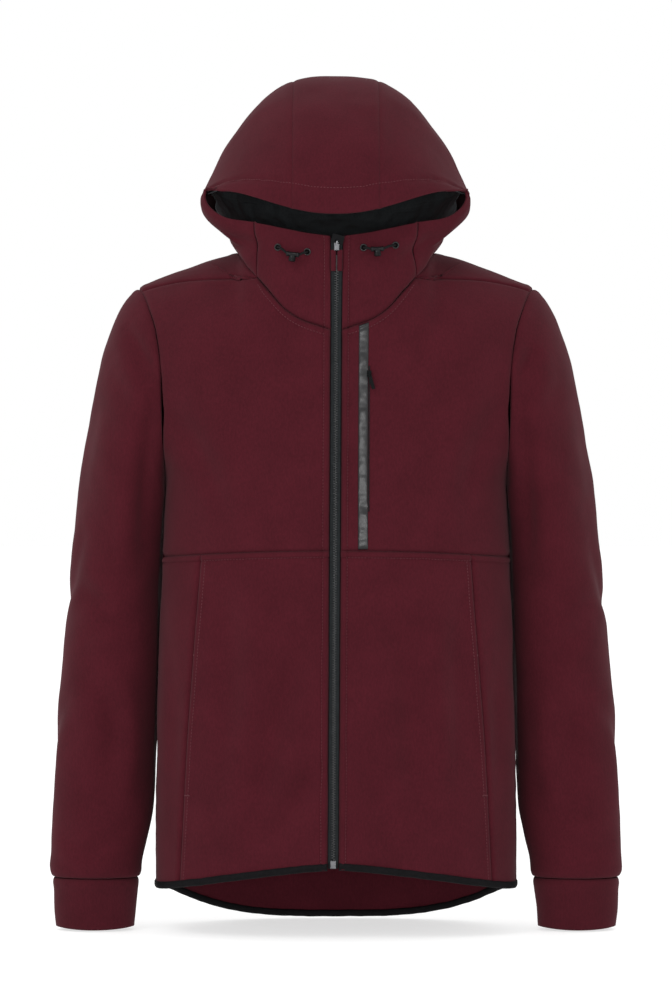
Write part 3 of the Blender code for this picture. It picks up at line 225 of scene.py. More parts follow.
SLEEVE_CREASES = {
    "R": (
        ("front", ((-0.228, -0.082), (-0.212, -0.108), (-0.193, -0.142)), -0.0058, 0.008),
        ("front", ((-0.236, -0.118), (-0.214, -0.148), (-0.197, -0.186)), 0.0026, 0.009),
        ("front", ((-0.196, -0.150), (-0.201, -0.240), (-0.204, -0.360)), -0.0060, 0.011),
        ("front", ((-0.248, -0.190), (-0.232, -0.290), (-0.240, -0.380)), 0.0024, 0.014),
        ("front", ((-0.286, -0.352), (-0.262, -0.374), (-0.236, -0.384)), -0.0030, 0.010),
        ("front", ((-0.276, -0.420), (-0.246, -0.404), (-0.212, -0.410)), -0.0026, 0.010),
        ("front", ((-0.268, -0.450), (-0.240, -0.510), (-0.250, -0.590)), -0.0028, 0.012),
        ("front", ((-0.226, -0.440), (-0.218, -0.530), (-0.228, -0.610)), 0.0022, 0.010),
        ("front", ((-0.298, -0.632), (-0.268, -0.646), (-0.234, -0.640)), -0.0022, 0.007),
        ("front", ((-0.288, -0.610), (-0.258, -0.620), (-0.226, -0.610)), 0.0016, 0.007),
        ("back", ((-0.214, -0.100), (-0.226, -0.200), (-0.214, -0.320)), -0.0034, 0.013),
        ("back", ((-0.280, -0.360), (-0.250, -0.390), (-0.222, -0.380)), -0.0032, 0.011),
        ("back", ((-0.272, -0.450), (-0.250, -0.540), (-0.262, -0.620)), -0.0026, 0.012),
        ("right", ((-0.030, -0.300), (0.010, -0.370), (0.050, -0.390)), -0.0030, 0.011),
        ("right", ((-0.020, -0.130), (0.014, -0.210), (0.004, -0.300)), 0.0022, 0.014),
        ("right", ((-0.026, -0.470), (0.010, -0.520), (0.020, -0.600)), -0.0024, 0.011),
    ),
    "L": (
        ("front", ((0.214, -0.104), (0.204, -0.126), (0.193, -0.148)), -0.0058, 0.008),
        ("front", ((0.238, -0.122), (0.216, -0.156), (0.199, -0.200)), 0.0026, 0.009),
        ("front", ((0.197, -0.155), (0.202, -0.250), (0.205, -0.370)), -0.0060, 0.011),
        ("front", ((0.252, -0.200), (0.238, -0.280), (0.246, -0.370)), 0.0022, 0.015),
        ("front", ((0.288, -0.372), (0.260, -0.386), (0.230, -0.376)), -0.0030, 0.010),
        ("front", ((0.272, -0.400), (0.246, -0.424), (0.214, -0.432)), -0.0024, 0.010),
        ("front", ((0.272, -0.460), (0.252, -0.520), (0.262, -0.600)), -0.0026, 0.012),
        ("front", ((0.232, -0.450), (0.222, -0.520), (0.236, -0.620)), 0.0022, 0.010),
        ("front", ((0.300, -0.640), (0.270, -0.648), (0.238, -0.636)), -0.0022, 0.007),
        ("front", ((0.292, -0.616), (0.262, -0.624), (0.230, -0.616)), 0.0015, 0.007),
        ("back", ((0.214, -0.095), (0.224, -0.190), (0.216, -0.330)), -0.0034, 0.013),
        ("back", ((0.284, -0.376), (0.254, -0.396), (0.224, -0.392)), -0.0030, 0.011),
        ("back", ((0.270, -0.460), (0.256, -0.550), (0.266, -0.630)), -0.0026, 0.012),
        ("left", ((-0.026, -0.310), (0.012, -0.376), (0.052, -0.384)), -0.0030, 0.011),
        ("left", ((-0.016, -0.140), (0.016, -0.220), (0.000, -0.310)), 0.0022, 0.014),
        ("left", ((-0.030, -0.480), (0.012, -0.530), (0.016, -0.610)), -0.0024, 0.011),
    ),
}
HOOD_CREASES = (
    ("front", ((-0.130, 0.012), (-0.104, 0.004), (-0.078, -0.002)), -0.0034, 0.007),
    ("front", ((-0.122, -0.004), (-0.098, -0.022), (-0.076, -0.046)), 0.0026, 0.009),
    ("front", ((-0.112, -0.012), (-0.092, -0.036), (-0.080, -0.064)), -0.0024, 0.008),
    ("front", ((0.122, 0.014), (0.094, 0.000), (0.060, -0.022)), -0.0034, 0.007),
    ("front", ((0.118, -0.002), (0.094, -0.024), (0.072, -0.050)), 0.0028, 0.009),
    ("front", ((0.104, -0.018), (0.090, -0.042), (0.074, -0.068)), -0.0022, 0.008),
    ("front", ((-0.062, 0.168), (-0.030, 0.162), (0.004, 0.166)), -0.0010, 0.010),
    ("front", ((0.012, 0.150), (0.036, 0.146), (0.058, 0.152)), 0.0009, 0.007),
    ("left", ((-0.060, 0.030), (-0.020, 0.014), (0.030, 0.020)), -0.0034, 0.010),
    ("left", ((-0.040, 0.090), (0.000, 0.110), (0.040, 0.100)), 0.0018, 0.016),
    ("right", ((-0.062, 0.026), (-0.018, 0.012), (0.036, 0.022)), -0.0034, 0.010),
    ("right", ((-0.036, 0.094), (0.004, 0.112), (0.044, 0.098)), 0.0018, 0.016),
    ("back", ((-0.070, 0.026), (-0.010, 0.040), (0.060, 0.028)), -0.0030, 0.010),
    ("back", ((-0.050, 0.080), (0.004, 0.068), (0.052, 0.084)), 0.0022, 0.013),
    ("top", ((-0.070, 0.020), (-0.020, 0.030), (0.040, 0.018)), 0.0012, 0.014),
)
FLOOR_Z = -0.7335
CAMERA_PLACE = (0, -4.5, -0.274)
LENS = 148.8
WORLD_LIGHT = 1.0
KEY_LIGHT = 38.0
FILL_LIGHT = 6.0
FRONT_LIGHT = 30.0
FLOOR_GLOW = 0.66


def table(columns, *rows):
    """A table with named columns. Its first column is the one that it is read along."""
    names = columns.split()
    found = {name: np.array([row[i] for row in rows]) for i, name in enumerate(names)}
    found["along"] = found[names[0]]
    return found


TORSO = table(
    "z      half_width front  back",
    (-0.760, 0.1940, 0.1250, 0.1250),
    (-0.640, 0.1940, 0.1245, 0.1230),
    (-0.550, 0.1935, 0.1230, 0.1200),
    (-0.470, 0.1915, 0.1215, 0.1165),
    (-0.400, 0.1895, 0.1205, 0.1140),
    (-0.330, 0.1870, 0.1200, 0.1130),
    (-0.250, 0.1835, 0.1190, 0.1130),
    (-0.200, 0.1970, 0.1175, 0.1130),
    (-0.150, 0.2100, 0.1165, 0.1120),
    (-0.100, 0.2220, 0.1150, 0.1090),
    (-0.050, 0.2350, 0.1120, 0.1050),
    (0.060, 0.2400, 0.1080, 0.1000),
)
SHOULDER_TOP = table(
    "x      z",
    (0.000, 0.0580),
    (0.046, 0.0470),
    (0.078, 0.0255),
    (0.096, 0.0095),
    (0.106, -0.0026),
    (0.130, -0.0095),
    (0.153, -0.0170),
    (0.184, -0.0280),
    (0.2135, -0.0414),
    (0.240, -0.0600),
)
ARMHOLE = table(
    "z       x",
    (-0.2500, 0.1835),
    (-0.1430, 0.1860),
    (-0.1200, 0.1880),
    (-0.0900, 0.1930),
    (-0.0656, 0.2010),
    (-0.0460, 0.2095),
    (-0.0414, 0.2135),
)
NECK_FRONT = table(
    "x      z",
    (0.0000, -0.0925),
    (0.0175, -0.0865),
    (0.0350, -0.0805),
    (0.0530, -0.0695),
    (0.0725, -0.0475),
    (0.0830, -0.0340),
    (0.0970, -0.0175),
    (0.1060, -0.0026),
)
NECK_BACK = table(
    "x      z",
    (0.0000, 0.0120),
    (0.0460, 0.0110),
    (0.0780, 0.0080),
    (0.0960, 0.0030),
    (0.1060, -0.0026),
)
SHOULDER_SEAM = table(
    "x      z",
    (0.0830, -0.0340),
    (0.1310, -0.0337),
    (0.1560, -0.0347),
    (0.1820, -0.0383),
    (0.2095, -0.0449),
)
# Lines that run up the front: shares of the way from the zip's edge to the side, and where they end
FRONT_LINES = table(
    "line hem    chest  top_x",
    (0, 0.000, 0.0000, 0.0060),
    (1, 0.105, 0.1000, 0.0242),
    (2, 0.162, 0.1565, 0.0345),
    (3, 0.172, 0.1665, 0.0362),
    (4, 0.350, 0.3300, 0.0540),
    (5, 0.560, 0.5300, 0.0700),
    (6, 0.740, 0.6700, 0.0830),
    (7, 0.856, 0.7600, 0.1080),
    (8, 0.925, 0.8700, 0.1340),
    (9, 0.968, 0.9450, 0.1600),
    (10, 0.992, 0.9870, 0.1860),
    (11, 1.000, 1.0000, 0.2095),
)
NECK_LINE = 6
SIDE_FRONT_LINE = 7
# The same up the back. Lines up to the neck line end on the neck seam, and face 1 is the back face.
# The bend is how late a line turns in towards its end, so that it passes outside the neck.
BACK_LINES = table(
    "line hem   chest  top_x   face bend",
    (0, 0.000, 0.000, 0.0000, 1, 1.0),
    (1, 0.130, 0.120, 0.0230, 1, 1.0),
    (2, 0.250, 0.240, 0.0460, 1, 1.0),
    (3, 0.360, 0.350, 0.0620, 1, 1.0),
    (4, 0.470, 0.460, 0.0780, 1, 1.2),
    (5, 0.580, 0.560, 0.0930, 1, 1.6),
    (6, 0.680, 0.650, 0.1060, 0, 2.2),
    (7, 0.760, 0.730, 0.0970, -1, 3.5),
    (8, 0.830, 0.800, 0.0830, -1, 5.0),
    (9, 0.890, 0.870, 0.1080, -1, 4.0),
    (10, 0.940, 0.925, 0.1340, -1, 3.2),
    (11, 0.972, 0.963, 0.1600, -1, 2.4),
    (12, 0.993, 0.988, 0.1860, -1, 1.5),
    (13, 1.000, 1.000, 0.2095, -1, 1.0),
)
BACK_NECK_LINE = 8
STRIP_LINE = 2
# Sleeve rings: the outer and the inner point, the middle's depth and half the ring's depth. in_x is
# less than the model's in rings 1 to 7, so that no gap shows beside the body, and in 12 and 13.
SLEEVE = table(
    "ring out_z   out_x   in_z    in_x    mid_y   half_depth",
    (0, -0.0414, 0.2140, -0.2500, 0.1840, 0.0000, 0.0680),
    (1, -0.0526, 0.2262, -0.2560, 0.1836, 0.0015, 0.0700),
    (2, -0.0708, 0.2372, -0.2630, 0.1828, 0.0040, 0.0720),
    (3, -0.0936, 0.2460, -0.2710, 0.1824, 0.0070, 0.0735),
    (4, -0.1240, 0.2550, -0.2800, 0.1824, 0.0110, 0.0745),
    (5, -0.1600, 0.2615, -0.2930, 0.1830, 0.0150, 0.0750),
    (6, -0.2050, 0.2690, -0.3120, 0.1842, 0.0190, 0.0745),
    (7, -0.2550, 0.2775, -0.3400, 0.1852, 0.0220, 0.0730),
    (8, -0.3150, 0.2850, -0.3800, 0.1870, 0.0240, 0.0700),
    (9, -0.3850, 0.2910, -0.4300, 0.1880, 0.0240, 0.0650),
    (10, -0.4600, 0.2980, -0.4850, 0.1900, 0.0210, 0.0590),
    (11, -0.5300, 0.3035, -0.5400, 0.1940, 0.0160, 0.0530),
    (12, -0.5900, 0.3062, -0.5930, 0.1968, 0.0100, 0.0470),
    (13, -0.6350, 0.3078, -0.6360, 0.2045, 0.0050, 0.0420),
    (14, -0.6620, 0.3080, -0.6620, 0.2105, 0.0030, 0.0380),
    (15, CUFF_TOP_Z, 0.3055, CUFF_TOP_Z, 0.2130, 0.0020, 0.0330),
)
CUFF = table(
    "z       out_x   in_x    mid_y  half_depth",
    (CUFF_FOOT_Z, 0.3025, 0.2180, 0.0020, 0.0290),
    (-0.7100, 0.3045, 0.2165, 0.0020, 0.0300),
    (-0.6900, 0.3050, 0.2140, 0.0020, 0.0315),
    (CUFF_TOP_Z, 0.3055, 0.2130, 0.0020, 0.0330),
)
# Hood, half of it: the lower rim from the zip to the lobe, the base of the crown from the lobe to
# the back, and the crown's middle line from the brim to the back. The rim is rounder at the lobe than
# the model's, and the base starts where it ends. The chin's share and the droop are not its own either.
RIM = ((0.0068, -0.1240, 0.0076), (0.031, -0.1230, 0.0108), (0.050, -0.1195, 0.0147),
       (0.0875, -0.1060, 0.0232), (0.1170, -0.0925, 0.0290), (0.1335, -0.0840, 0.0395),
       (0.1395, -0.0790, 0.0500), (0.1385, -0.0780, 0.0600))
CROWN_BASE = ((0.1385, -0.0780, 0.0600), (0.1415, -0.0450, 0.0605), (0.1415, -0.0100, 0.0600),
              (0.1300, 0.0350, 0.0580), (0.1000, 0.0750, 0.0560), (0.0700, 0.0960, 0.0550),
              (STRIP_HALF, 0.1050, 0.0550))
CROWN_MIDDLE = ((0.0, -0.1500, 0.0293), (0.0, -0.1480, 0.0620), (0.0, -0.1310, 0.1060),
                (0.0, -0.0930, 0.1490), (0.0, -0.0400, 0.1800), (0.0, 0.0150, 0.1870),
                (0.0, 0.0700, 0.1640), (0.0, 0.1050, 0.1220), (0.0, 0.1160, 0.0850),
                (0.0, 0.1100, 0.0560))
CHIN_RIM_SHARE = 0.52
BASE_EASE = 1.5
BRIM_DROOP_POWER = 1.15
CROWN_POWER = 2.9
DEPTH_POWER = 2.4
DROOP_RIBS = 3
# How far the cloth stands out of a straight line up the collar, at the lobe and at the back
COLLAR_SWELL = table(
    "share lobe    back",
    (0.00, 0.0000, 0.0000),
    (0.25, 0.0018, 0.0060),
    (0.38, 0.0000, 0.0085),
    (0.52, 0.0095, 0.0100),
    (0.68, 0.0150, 0.0090),
    (0.84, 0.0110, 0.0055),
    (1.00, 0.0000, 0.0000),
)
# Each cord's route from eyelet to eyelet, and the place and direction of its lock
CORD_ROWS = (
    {"route": ((0.0290, -0.1226, -0.0045), (0.0322, -0.1256, -0.0050), (0.0381, -0.1267, -0.0064),
               (0.0434, -0.1258, -0.0062), (0.0487, -0.1249, -0.0060), (0.0556, -0.1223, -0.0032),
               (0.0602, -0.1192, -0.0019), (0.0625, -0.1150, -0.0016)),
     "lock": (0.0434, -0.1258, -0.0062), "lock_along": (0.95, 0.16, 0.04)},
    {"route": ((-0.0304, -0.1219, -0.0090), (-0.0337, -0.1249, -0.0100),
               (-0.0401, -0.1257, -0.0124), (-0.0454, -0.1247, -0.0117),
               (-0.0507, -0.1237, -0.0110), (-0.0555, -0.1220, -0.0070),
               (-0.0596, -0.1193, -0.0042), (-0.0614, -0.1151, -0.0038)),
     "lock": (-0.0454, -0.1247, -0.0117), "lock_along": (-0.95, 0.18, 0.13)},
)


# ---------------------------------------------------------------- reading tables and lines


def follow(rows, name, at):
    """A column read between the rows of its table, on a curve that doesn't overshoot them."""
    keys = rows["along"].astype(float)
    values = rows[name].astype(float)
    rise = np.diff(values) / np.diff(keys)
    slope = np.empty(len(values))
    slope[0] = rise[0]
    slope[-1] = rise[-1]
    both = rise[:-1] * rise[1:]
    slope[1:-1] = np.where(both > 0, 2 * both / np.where(both > 0, rise[:-1] + rise[1:], 1), 0)
    i = np.clip(np.searchsorted(keys, at) - 1, 0, len(keys) - 2)
    step = keys[i + 1] - keys[i]
    t = np.clip((at - keys[i]) / step, 0, 1)
    low = (2 * t**3 - 3 * t**2 + 1) * values[i] + (t**3 - 2 * t**2 + t) * step * slope[i]
    high = (3 * t**2 - 2 * t**3) * values[i + 1] + (t**3 - t**2) * step * slope[i + 1]
    return low + high


def mix(a, b, share):
    return a + (b - a) * share


def smooth_step(low, high, value):
    t = np.clip((value - low) / (high - low), 0, 1)
    return t * t * (3 - 2 * t)


def run_along(line):
    """The length along a line of points, at each of them."""
    steps = np.linalg.norm(np.diff(line, axis=0), axis=1)
    return np.concatenate([[0], np.cumsum(steps)])


def spaced(line, shares):
    """Points at these shares of a line's length."""
    run = run_along(line)
    places = np.asarray(shares) * run[-1]
    return np.stack([np.interp(places, run, line[:, i]) for i in range(3)], axis=1)


def trace(points, shares, fine=24):
    """The same on a smooth curve through a few points."""
    points = np.asarray(points, float)
    ends = np.vstack([2 * points[0] - points[1], points, 2 * points[-1] - points[-2]])
    t = np.linspace(0, 1, fine + 1)[1:, None]
    line = [points[:1]]
    for a, b, c, d in zip(ends, ends[1:], ends[2:], ends[3:]):
        bend = 2 * b + (c - a) * t + (2 * a - 5 * b + 4 * c - d) * t**2
        line.append((bend + (3 * b - a - 3 * c + d) * t**3) / 2)
    return spaced(np.vstack(line), shares)


def fine_places(grid, keys, axis, cell=CELL):
    """Places between these keys for cells of about one size, closer together at both ends. The grid
    has one line, or one row, of points for each key."""
    steps = np.linalg.norm(np.diff(grid, axis=axis), axis=2).max(axis=1 - axis)
    run = np.concatenate([[0], np.cumsum(steps)])
    near = np.array(NEAR_SEAM)
    count = max(2, int(run[-1] / cell))
    even = np.linspace(near[-1], run[-1] - near[-1], count)
    places = np.concatenate([near[:-1], even, run[-1] - near[:-1][::-1]])
    return np.interp(places, run, keys)


# ---------------------------------------------------------------- body form


def body_point(x, turn):
    """Points of the body: turn is 0 on the shoulder's ridge, below 0 in front and above 0 behind."""
    x, turn = np.broadcast_arrays(x, turn)
    angle = np.minimum(np.abs(turn), 1.0) * math.pi / 2
    beyond = np.maximum(np.abs(turn) - 1.0, 0.0) * math.pi / 2
    z = follow(SHOULDER_TOP, "z", np.abs(x)) - SHOULDER_ROUND * (1 - np.cos(angle) + beyond)
    share = np.minimum(np.abs(x) / follow(TORSO, "half_width", z), 1.0)
    depth = np.where(turn < 0, follow(TORSO, "front", z), follow(TORSO, "back", z))
    y = np.sign(turn) * depth * (1 - share**SECTION_POWER) ** (1 / SECTION_POWER) * np.sin(angle)
    return np.stack([x, y, z], axis=-1)


def turn_at(x, z):
    """The turn, without its sign, at which the body reaches this height."""
    drop = (follow(SHOULDER_TOP, "z", np.abs(x)) - z) / SHOULDER_ROUND
    round_turn = np.arccos(1 - np.clip(drop, 0, 1)) * 2 / math.pi
    return np.where(drop > 1, 1 + (drop - 1) * 2 / math.pi, round_turn)


def zip_x(z):
    return mix(ZIP_FOOT_X, ZIP_TOP_X, (z - HEM_FRONT_Z) / (ZIP_HEAD_Z - HEM_FRONT_Z))


def across(side, share, z, edge):
    """x at a share of the way from the edge of the panel to the body's side."""
    half = follow(TORSO, "half_width", z)
    lean = zip_x(z) * (1 - share) ** 2 if edge else 0.0
    return lean + side * (edge + share * (half - edge))


def hem_z(x, front):
    share = np.minimum(np.abs(x) / HALF_HEM, 1)
    if front:
        return HEM_FRONT_Z - HEM_FRONT_DROP * share**1.4
    return HEM_BACK_Z + HEM_BACK_RISE * share**3.2


def armhole_x(turn):
    """The armhole's x at a turn. Each round uses the last one's x, and a few settle it."""
    x = np.full(np.shape(turn), ARMHOLE_GUESS)
    for _ in range(8):
        x = follow(ARMHOLE, "x", body_point(x, turn)[..., 2])
    return x


def front_top(at):
    """Where front lines end: x from the middle, and the turn."""
    x = follow(FRONT_LINES, "top_x", at)
    z = np.where(at <= NECK_LINE, follow(NECK_FRONT, "z", x), follow(SHOULDER_SEAM, "z", x))
    return x, -turn_at(x, z)


def back_top(at):
    """Where back lines end. From the neck line on, they meet the front's."""
    keys = np.arange(BACK_NECK_LINE + 1)
    x = BACK_LINES["top_x"][: BACK_NECK_LINE + 1]
    face = BACK_LINES["face"][: BACK_NECK_LINE + 1]
    z = np.where(face < 0, follow(NECK_FRONT, "z", x), follow(NECK_BACK, "z", x))
    tops = {"along": keys, "x": x, "turn": face * turn_at(x, z)}
    joined_x, joined_turn = front_top(at - BACK_NECK_LINE + NECK_LINE)
    own = at <= BACK_NECK_LINE
    x = np.where(own, follow(tops, "x", at), joined_x)
    return x, np.where(own, follow(tops, "turn", at), joined_turn)


def body_grid(side, front, at, hem_rows, chest_rows, upper_rows):
    """Lines of points up a body panel. The rows are shares of the way from the hem to the chest
    seam, on to the armpit, and on to the top."""
    lines = FRONT_LINES if front else BACK_LINES
    edge = ZIP_HALF if front else 0.0
    sign = -1 if front else 1
    at = np.asarray(at, float)
    hem, chest = (follow(lines, name, at)[:, None] for name in ("hem", "chest"))
    low_z = hem_z(across(side, hem, HEM_FRONT_Z, edge), front)
    chest_z = CHEST_Z - CHEST_DROP * chest**2
    hem_rows, chest_rows = np.asarray(hem_rows)[None], np.asarray(chest_rows)[None]
    z_low = mix(low_z, chest_z, hem_rows)
    x_low = across(side, mix(hem, chest, hem_rows), z_low, edge)
    z_mid = mix(chest_z, ARMPIT_Z, chest_rows)
    x_mid = across(side, chest, z_mid, edge)
    x, z = np.hstack([x_low, x_mid]), np.hstack([z_low, z_mid])
    grid = body_point(x, sign * turn_at(x, z))
    if len(upper_rows) == 0:
        return grid
    foot_x = across(side, chest, ARMPIT_Z, edge)
    foot_turn = sign * turn_at(foot_x, ARMPIT_Z)
    top_x, top_turn = (front_top if front else back_top)(at)
    top_x = side * top_x + zip_x(NECK_FRONT["z"][0]) * np.clip(1 - at, 0, 1)
    bend = follow(lines, "bend", at)[:, None] if "bend" in lines else 1.0
    side_foot = sign * turn_at(follow(ARMHOLE, "x", ARMPIT_Z), ARMPIT_Z)
    side_top = -turn_at(SHOULDER_SEAM["x"][-1], SHOULDER_SEAM["z"][-1])
    t = np.linspace(0, 1, 121)
    curve = armhole_x(mix(side_foot, side_top, t)) - mix(armhole_x(side_foot), armhole_x(side_top), t)
    x = mix(foot_x, top_x[:, None], t**bend) + side * curve * chest**2
    upper = body_point(x, mix(foot_turn, top_turn[:, None], t))
    even = np.linspace(0, 1, ARMHOLE_ROWS + 1)
    eased = mix(even, (1 - np.cos(np.pi * even)) / 2, ARMHOLE_EASE)
    shares = np.interp(upper_rows, even, eased)
    upper = np.array([spaced(line, shares) for line in upper])
    return np.hstack([grid, upper])


# ---------------------------------------------------------------- sleeves


def ring_points(row, angles, side):
    """A sleeve or cuff ring at these angles, from its outer point round by the front. The row's
    values may be columns, for many rings at once."""
    outer = np.stack([row["out_x"], row["mid_y"], row["out_z"]], axis=-1)
    inner = np.stack([row["in_x"], row["mid_y"], row["in_z"]], axis=-1)
    found = ((outer + inner) / 2)[:, None] + ((outer - inner) / 2)[:, None] * np.cos(angles)[:, None]
    found[..., 1] -= row["half_depth"][:, None] * np.sin(angles)
    x, y, z = np.moveaxis(found, -1, 0)
    depth = np.where(y < 0, follow(TORSO, "front", z), follow(TORSO, "back", z))
    share = np.minimum(np.abs(y) / depth, 1.0)
    flank = follow(TORSO, "half_width", z) * (1 - share**SECTION_POWER) ** (1 / SECTION_POWER)
    start, growth, most = SLEEVE_CLEAR
    clear = flank + np.minimum(most, start + growth * (ARMPIT_Z - z))
    found[..., 0] = np.where(z > ARMPIT_Z, x, np.maximum(x, clear))
    return found * (side, 1, 1)


def rows_of(rows, at):
    return {name: follow(rows, name, at) for name in rows}


def sleeve_grid(loop, side, at):
    """Rings down a sleeve from the armhole's loop of points, and the angles of their points."""
    first = {name: SLEEVE[name][:1] for name in SLEEVE}
    middle_z = (first["out_z"] + first["in_z"]) / 2
    half = (first["out_z"] - first["in_z"]) / 2
    angles = np.arctan2(-loop[:, 1] / first["half_depth"], (loop[:, 2] - middle_z) / half)
    rings = ring_points(rows_of(SLEEVE, at), angles, side)
    shift = loop - ring_points(first, angles, side)[0]
    fade = np.clip(1 - at / ARMHOLE_FADE, 0, 1) ** 2
    return rings + shift * fade[:, None, None], angles


def cuff_grid(angles, side, at):
    row = rows_of(CUFF, at)
    row["out_z"] = row["in_z"] = at
    return ring_points(row, angles, side)


# ---------------------------------------------------------------- hood


def collar_grid(feet, tops, lobe, back, shares):
    """Lines from the neck seam up to the rim or the crown's base, with the lobe's roll and the
    swell of the back, each by its share on that line."""
    feet, tops = feet[:, None], tops[:, None]
    shares = np.asarray(shares)[None]
    grid = mix(feet, tops, shares[..., None])
    out = np.stack([grid[..., 0], grid[..., 1] - NECK_MIDDLE[1], 0 * grid[..., 0]], axis=-1)
    out /= np.linalg.norm(out, axis=-1, keepdims=True)
    swell = np.asarray(lobe)[:, None] * follow(COLLAR_SWELL, "lobe", shares)
    swell = swell + np.asarray(back)[:, None] * follow(COLLAR_SWELL, "back", shares)
    return grid + out * swell[..., None]


def crown_grid(at, edges, shares, side):
    """Ribs over the crown, at shares of the way from the brim to the back. The edges give the
    widths between which each rib runs, from its base's width: 0 is the middle line."""
    base = trace(CROWN_BASE, at**BASE_EASE)
    middle = trace(CROWN_MIDDLE, at)
    ribs = []
    for number, (low, high) in enumerate(zip(base, middle)):
        seam = min(STRIP_HALF, low[0])
        span = {"base": low[0], "seam": seam, "middle": 0.0}
        x = np.linspace(span[edges[0]], span[edges[1]], 49)
        share = np.minimum(x / low[0], 1.0)
        behind = min(at[number] * HOOD_RIBS / DROOP_RIBS, 1.0)
        y = mix(high[1], low[1], share**DEPTH_POWER)
        droop = mix(smooth_step(0, 1, share**BRIM_DROOP_POWER), share**CROWN_POWER, behind)
        z = mix(high[2], low[2], droop)
        ribs.append(spaced(np.stack([x * side, y, z], axis=1), shares))
    return np.array(ribs)


def neck_points(side, at):
    """The neck seam's points at places along the back's lines."""
    x, turn = back_top(np.asarray(at, float))
    return body_point(side * x, turn)


def chin_grid(side, at, shares):
    feet = body_point(side * front_top(at)[0] + zip_x(NECK_FRONT["z"][0]) * np.clip(1 - at, 0, 1),
                      front_top(at)[1])
    along = at / NECK_LINE * CHIN_RIM_SHARE
    tops = trace(RIM, along) * (side, 1, 1)
    tops[:, 0] += zip_x(ZIP_HEAD_Z) * (1 - along / CHIN_RIM_SHARE)
    return collar_grid(feet, tops, 0 * at, 0 * at, shares)


def side_grid(side, at, shares, rolled=1.0):
    """Below the crown, at places in half lines from the chin seam, at 0, to the strip, at 12."""
    feet = neck_points(side, BACK_NECK_LINE - at / 2)
    behind = np.clip((at - TO_LOBE) / HOOD_RIBS, 0, 1)
    rim = trace(RIM, np.minimum(mix(CHIN_RIM_SHARE, 1, at / TO_LOBE), 1))
    tops = np.where((at <= TO_LOBE)[:, None], rim, trace(CROWN_BASE, behind**BASE_EASE))
    lobe = np.where(at <= TO_LOBE, np.clip(at / TO_LOBE, 0, 1) ** LOBE_POWER,
                    (0.5 + 0.5 * np.cos(np.pi * behind**BEHIND_LOBE_POWER)) ** LOBE_POWER)
    return collar_grid(feet, tops * (side, 1, 1), lobe * rolled, behind, shares)


def strip_low_grid(side, across_shares, shares):
    """The strip's stretch down the back, from the strip's seam at 0 to the middle at 1."""
    feet = neck_points(side, STRIP_LINE * (1 - across_shares))
    tops = crown_grid(np.array([1.0]), ("seam", "middle"), across_shares, side)[0]
    flat = 0 * across_shares
    return collar_grid(feet, tops, flat, flat + 1, shares)


# ---------------------------------------------------------------- materials


class Finish:
    """A material with short ways to add its nodes."""

    def __init__(self, name, roughness, metallic=0.0, **sockets):
        self.made = bpy.data.materials.new(name)
        self.made.use_nodes = True
        self.tree = self.made.node_tree
        self.shader = self.tree.nodes["Principled BSDF"]
        self.shader.inputs["Roughness"].default_value = roughness
        self.shader.inputs["Metallic"].default_value = metallic
        for socket, value in sockets.items():
            self.shader.inputs[socket.replace("_", " ")].default_value = value
        self.place = self.node("ShaderNodeTexCoord").outputs["Object"]

    def node(self, kind, **values):
        made = self.tree.nodes.new(kind)
        for name, value in values.items():
            if name in made.inputs:
                made.inputs[name].default_value = value
            else:
                setattr(made, name, value)
        return made

    def link(self, start, end):
        self.tree.links.new(start, end)

    def scaled(self, scale):
        made = self.node("ShaderNodeMapping")
        made.inputs["Scale"].default_value = scale
        self.link(self.place, made.inputs["Vector"])
        return made.outputs[0]

    def noise(self, scale, detail=2.0, stretch=(1, 1, 1)):
        made = self.node("ShaderNodeTexNoise", Scale=scale, Detail=detail)
        self.link(self.scaled(stretch), made.inputs["Vector"])
        return made.outputs["Fac"]

    def ramp(self, value, *stops):
        made = self.node("ShaderNodeValToRGB")
        ramp = made.color_ramp
        while len(ramp.elements) < len(stops):
            ramp.elements.new(0.5)
        for element, (place, colour) in zip(ramp.elements, stops):
            element.position = place
            element.color = (*colour, 1)
        self.link(value, made.inputs["Fac"])
        return made.outputs["Color"]

    def blend(self, a, b, share):
        made = self.node("ShaderNodeMix", data_type="RGBA")
        for value, socket in ((share, 0), (a, 6), (b, 7)):
            if isinstance(value, (int, float)):
                made.inputs[socket].default_value = value
            elif isinstance(value, tuple):
                made.inputs[socket].default_value = (*value, 1)
            else:
                self.link(value, made.inputs[socket])
        return made.outputs[2]

    def sum(self, a, b, share):
        made = self.node("ShaderNodeMath", operation="MULTIPLY_ADD")
        self.link(b, made.inputs[0])
        made.inputs[1].default_value = share
        self.link(a, made.inputs[2])
        return made.outputs[0]

    def colour(self, value):
        self.link(value, self.shader.inputs["Base Color"])

    def bump(self, height, strength, distance):
        made = self.node("ShaderNodeBump", Strength=strength, Distance=distance)
        self.link(height, made.inputs["Height"])
        self.link(made.outputs[0], self.shader.inputs["Normal"])


def shade(colour, factor):
    """The colour made darker or lighter, within white."""
    return tuple(min(part * factor, 1) for part in colour)


